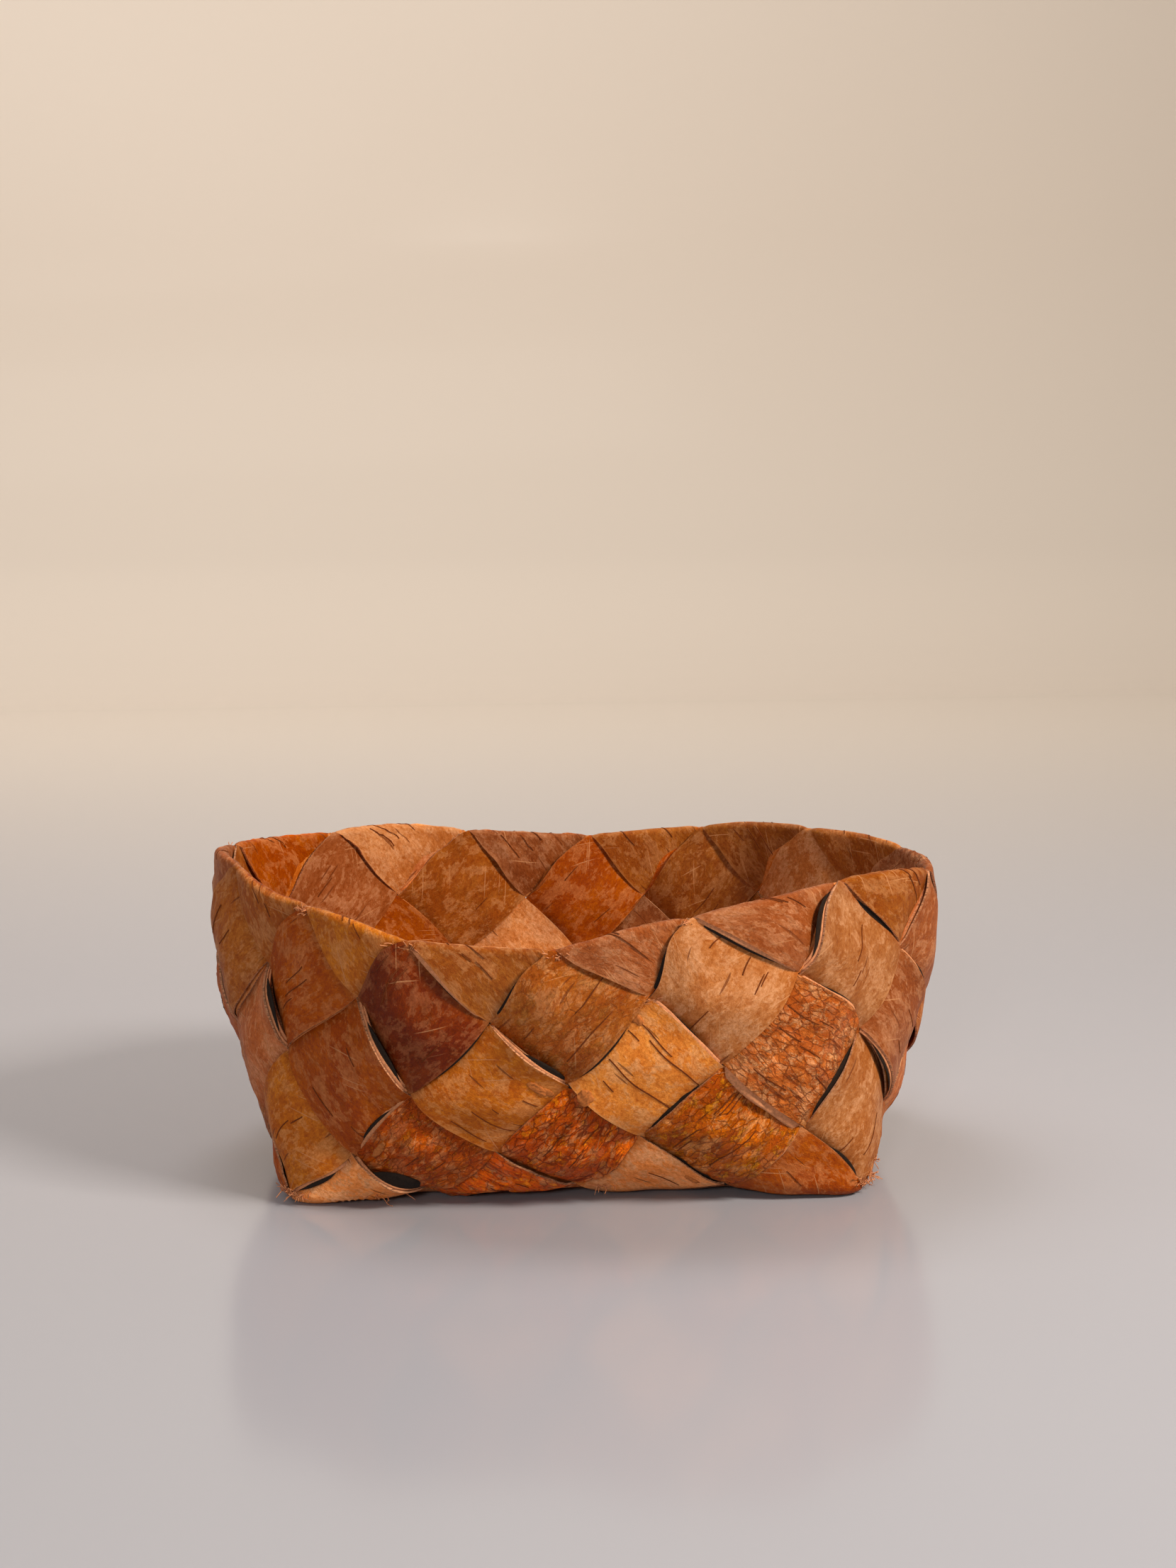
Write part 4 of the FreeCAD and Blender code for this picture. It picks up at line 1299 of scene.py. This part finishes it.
class BARKBOX_OT_lenticels(bpy.types.Operator):
    """Lay the long dark dashes along the strips"""

    bl_idname = "barkbox.lenticels"
    bl_label = "Lenticels"

    def execute(self, context):
        scene = context.scene
        shape = BoxShape(scene.bark_box_sizes)
        pitch = shape.sizes.strip_pitch
        above = shape.sizes.bark_thickness / 2 + MARK_RISE
        chance = random.Random(7)
        bm = bmesh.new()
        for strip, cell, returned, side, row, around in faces():
            marks = MARKS.get((row, around), ()) if side > 0 else ()
            if (row, around) not in CELLS or side < 0:
                for n in range(chance.randint(*MARK_COUNT)):
                    right, up = (chance.uniform(-MARK_SPREAD, MARK_SPREAD) for axis in range(2))
                    marks += ((right, up, chance.uniform(*MARK_LENGTHS)),)
            if not marks:
                continue
            spots = to_flat(strip, shape, cell, returned, [mark[:2] for mark in marks])
            for spot, mark in zip(spots, marks):
                reach = mark[2] / 1000 / pitch
                wide = MARK_WIDTH / pitch * (1 + 0.4 * reach)
                corner = (spot[0] - reach / 2, spot[1] - wide / 2)
                bent_patch(bm, strip, shape, corner, (reach, wide), (18, 2), above, taper=0.25, wavy=0.012)
        small_piece("lenticels", bm, MARK_RISE, plain_bark("lenticel", scene.bark_box_colours.lenticel))
        return {"FINISHED"}


class BARKBOX_OT_frays(bpy.types.Operator):
    """Add the frayed fibres at worn folds and corners"""

    bl_idname = "barkbox.frays"
    bl_label = "Frayed fibres"

    def execute(self, context):
        scene = context.scene
        shape = BoxShape(scene.bark_box_sizes)
        chance = random.Random(3)
        bm = bmesh.new()
        for around, up, count, size in FRAYS:
            wall = wall_at(np.array([around]))[0]
            place = np.array([around]) % AROUND - WALL_FIRST[wall]
            middle, out, rise = (Vector(found[0]) for found in shape.frames(wall, place, np.array([up])))
            middle += Vector(nudged(np.array([around]), np.array([up]))[0])
            across = rise.cross(out)
            for n in range(count):
                made = bmesh.ops.create_grid(bm, x_segments=6, y_segments=1, size=0.5)["verts"]
                start = middle + across * chance.gauss(0, FRAY_SPREAD) + out * FRAY_STAND_OFF
                start = start + rise * chance.uniform(*FRAY_RISES)
                turn = chance.uniform(-FRAY_TURN, FRAY_TURN)
                ahead = out * chance.uniform(0.3, 1.0) + across * math.sin(turn)
                ahead = (ahead + rise * 0.6 * math.cos(turn)).normalized()
                bend = Vector([chance.uniform(-0.8, 0.8) for axis in range(3)])
                reach = size / 1000 * chance.uniform(0.3, 1.0)
                for vert in made:
                    along, side = vert.co.x + 0.5, vert.co.y
                    spot = start + ahead * reach * along + bend * reach * along ** 2
                    spot += across * side * FIBRE_WIDTH * (1.2 - along)
                    vert.co = (spot.x, spot.y, max(spot.z, FIBRE_WIDTH))
        colour = scene.bark_box_colours.fibre
        small_piece("frayed_fibres", bm, FIBRE_WIDTH / 2, plain_bark("frayed_fibre", colour))
        return {"FINISHED"}


class BARKBOX_OT_scraps(bpy.types.Operator):
    """Add the torn scraps and knots on the front"""

    bl_idname = "barkbox.scraps"
    bl_label = "Torn scraps and knots"

    def execute(self, context):
        scene = context.scene
        shape = BoxShape(scene.bark_box_sizes)
        above = shape.sizes.bark_thickness / 2
        bm = bmesh.new()
        for strip, cell, returned, (right, up, size, width, lift) in entries(SCRAPS):
            spot = to_flat(strip, shape, cell, returned, [(right, up)])[0]
            reach = np.array((size, width)) / 1000 / shape.sizes.strip_pitch
            torn = lift / 1000
            bent_patch(bm, strip, shape, spot - reach / 2, reach, (12, 8), above, taper=0.5, torn=torn)
        torn_bark = plain_bark("torn_scrap", scene.bark_box_colours.torn_scrap)
        small_piece("torn_scraps", bm, SCRAP_THICKNESS, torn_bark)
        return {"FINISHED"}


class BARKBOX_OT_edge_layers(bpy.types.Operator):
    """Lay the lower layers that show along the strips' edges, and the sheets of painted shadow in the gaps
    """

    bl_idname = "barkbox.edge_layers"
    bl_label = "Layers along the edges"

    def execute(self, context):
        scene = context.scene
        shape = BoxShape(scene.bark_box_sizes)
        pitch = shape.sizes.strip_pitch
        bm = bmesh.new()
        for strip, cell, returned, (upper, reach, below) in entries(LAYERS):
            plus = upper == strip.left_edge_low(cell, returned)
            outer = (0.5 + reach / 1000 / pitch) * (1 if plus else -1)
            corner = (cell - EDGE_LAYER_RUN / 2, outer)
            size = (EDGE_LAYER_RUN, -EDGE_LAYER_WIDTH if plus else EDGE_LAYER_WIDTH)
            bent_patch(bm, strip, shape, corner, size, (30, 4), -below / 1000, wavy=0.006)
        thickness = shape.sizes.bark_thickness * EDGE_LAYER_SHARE
        small_piece("edge_layers", bm, thickness, plain_bark("edge_layer", scene.bark_box_colours.fibre))
        # Dark sheets of painted shadow, laid in the gaps under the cells' edges.
        bm = bmesh.new()
        for strip, cell, returned, (upper, reach, share) in entries(GAP_SHADOWS):
            plus = upper == strip.left_edge_low(cell, returned)
            wide = reach / 1000 / pitch
            backward = to_flat(strip, shape, cell, returned, [(10, 0)])[0][0] < cell
            middle = cell + (share - 0.5) * (-1 if backward else 1)
            corner = (middle - GAP_SHADOW_RUN / 2, (0.5 if plus else -0.5) - wide)
            size = (GAP_SHADOW_RUN, 2 * wide)
            bent_patch(bm, strip, shape, corner, size, (24, 6), -GAP_SHADOW_DEPTH, taper=1.0)
        dark = plain_bark("opening", scene.bark_box_colours.opening)
        small_piece("openings", bm, GAP_SHADOW_THICKNESS, dark)
        return {"FINISHED"}


def table_and_backdrop(studio):
    """Makes the table, which bends up into the backdrop."""
    bm = bmesh.new()
    bmesh.ops.create_grid(bm, x_segments=1, y_segments=1, size=TABLE_HALF)
    bmesh.ops.translate(bm, vec=(0, BEND_START - TABLE_HALF, 0), verts=bm.verts)
    far = [edge for edge in bm.edges if all(v.co.y > 0 for v in edge.verts)]
    bmesh.ops.spin(
        bm, geom=far, cent=(0, BEND_START, BEND_RADIUS), axis=(1, 0, 0), angle=math.radians(90),
        steps=BEND_STEPS, use_merge=False)
    top = [edge for edge in bm.edges if all(abs(v.co.z - BEND_RADIUS) < 1e-4 for v in edge.verts)]
    raised = bmesh.ops.extrude_edge_only(bm, edges=top)["geom"]
    verts = [v for v in raised if isinstance(v, bmesh.types.BMVert)]
    bmesh.ops.translate(bm, vec=(0, 0, BACKDROP_HEIGHT), verts=verts)
    mesh = bpy.data.meshes.new("table_and_backdrop")
    bm.to_mesh(mesh)
    bm.free()
    mesh.shade_smooth()
    sweep = bpy.data.objects.new("table_and_backdrop", mesh)
    bpy.context.scene.collection.objects.link(sweep)
    mesh.materials.append(fading("pale_table", studio.floor, studio.wall))


def lamp(name, watts, size, location, target, colour):
    """Adds a soft lamp."""
    light = bpy.data.lights.new(name, "AREA")
    light.energy = watts
    light.shape = "RECTANGLE"
    light.size, light.size_y = size
    light.color = colour
    placed = bpy.data.objects.new(name, light)
    placed.location = location
    placed.rotation_euler = (Vector(target) - Vector(location)).to_track_quat("-Z", "Y").to_euler()
    placed.visible_glossy = name not in NOT_MIRRORED
    bpy.context.scene.collection.objects.link(placed)


def camera_place():
    """The camera's place and turn."""
    ahead = Vector((0, math.cos(CAMERA_PITCH), -math.sin(CAMERA_PITCH)))
    up = Vector((0, math.sin(CAMERA_PITCH), math.cos(CAMERA_PITCH)))
    right = Vector((1, 0, 0))
    turned_right = right * math.cos(CAMERA_ROLL) - up * math.sin(CAMERA_ROLL)
    turned_up = up * math.cos(CAMERA_ROLL) + right * math.sin(CAMERA_ROLL)
    axes = Matrix((turned_right, turned_up, -ahead)).transposed()
    heading = Matrix.Rotation(-CAMERA_YAW, 3, "Z")
    return Matrix.Translation(heading @ Vector(CAMERA_PLACE)) @ (heading @ axes).to_4x4()


class BARKBOX_OT_stage(bpy.types.Operator):
    """Set up the table, the backdrop, the lamps and the camera"""

    bl_idname = "barkbox.stage"
    bl_label = "Stage, lamps and camera"

    def execute(self, context):
        scene = context.scene
        studio = scene.bark_box_studio
        table_and_backdrop(studio)
        for name, settings in LAMPS.items():
            lamp(name, getattr(studio, name), *settings)
        world = bpy.data.worlds.new("soft_world")
        world.use_nodes = True
        even_light = world.node_tree.nodes["Background"]
        even_light.inputs["Color"].default_value = WORLD_COLOUR
        even_light.inputs["Strength"].default_value = studio.world
        scene.world = world
        scene.view_settings.view_transform = "Standard"
        lens = bpy.data.cameras.new("camera")
        lens.sensor_fit = "HORIZONTAL"
        lens.sensor_width = 36.0
        lens.lens = studio.focal_length
        camera = bpy.data.objects.new("camera", lens)
        camera.matrix_world = camera_place()
        scene.collection.objects.link(camera)
        scene.camera = camera
        return {"FINISHED"}


class BARKBOX_PT_panel(bpy.types.Panel):
    """Lists the steps that make the box"""

    bl_idname = "BARKBOX_PT_panel"
    bl_label = "Birch bark box"
    bl_space_type = "VIEW_3D"
    bl_region_type = "UI"
    bl_category = "Bark box"

    def draw(self, context):
        for operator in OPERATORS:
            self.layout.operator(operator.bl_idname)
        for key, kind in GROUPS.items():
            box = self.layout.box()
            for name in kind.__annotations__:
                box.prop(getattr(context.scene, key), name)


OPERATORS = (
    BARKBOX_OT_strips_back_left,
    BARKBOX_OT_strips_back_right,
    BARKBOX_OT_lenticels,
    BARKBOX_OT_edge_layers,
    BARKBOX_OT_frays,
    BARKBOX_OT_scraps,
    BARKBOX_OT_stage,
)
GROUPS = {
    "bark_box_sizes": BarkBoxSizes,
    "bark_box_colours": BarkBoxColours,
    "bark_box_studio": BarkBoxStudio,
}


def register():
    for group in GROUPS.values():
        bpy.utils.register_class(group)
    for name, group in GROUPS.items():
        setattr(bpy.types.Scene, name, bpy.props.PointerProperty(type=group))
    for item in OPERATORS + (BARKBOX_PT_panel,):
        bpy.utils.register_class(item)


def unregister():
    for item in (BARKBOX_PT_panel,) + OPERATORS:
        bpy.utils.unregister_class(item)
    for name, group in GROUPS.items():
        delattr(bpy.types.Scene, name)
        bpy.utils.unregister_class(group)


def main():
    register()
    bpy.ops.barkbox.strips_back_left()
    bpy.ops.barkbox.strips_back_right()
    bpy.ops.barkbox.lenticels()
    bpy.ops.barkbox.edge_layers()
    bpy.ops.barkbox.frays()
    bpy.ops.barkbox.scraps()
    bpy.ops.barkbox.stage()


if __name__ == "__main__":
    main()
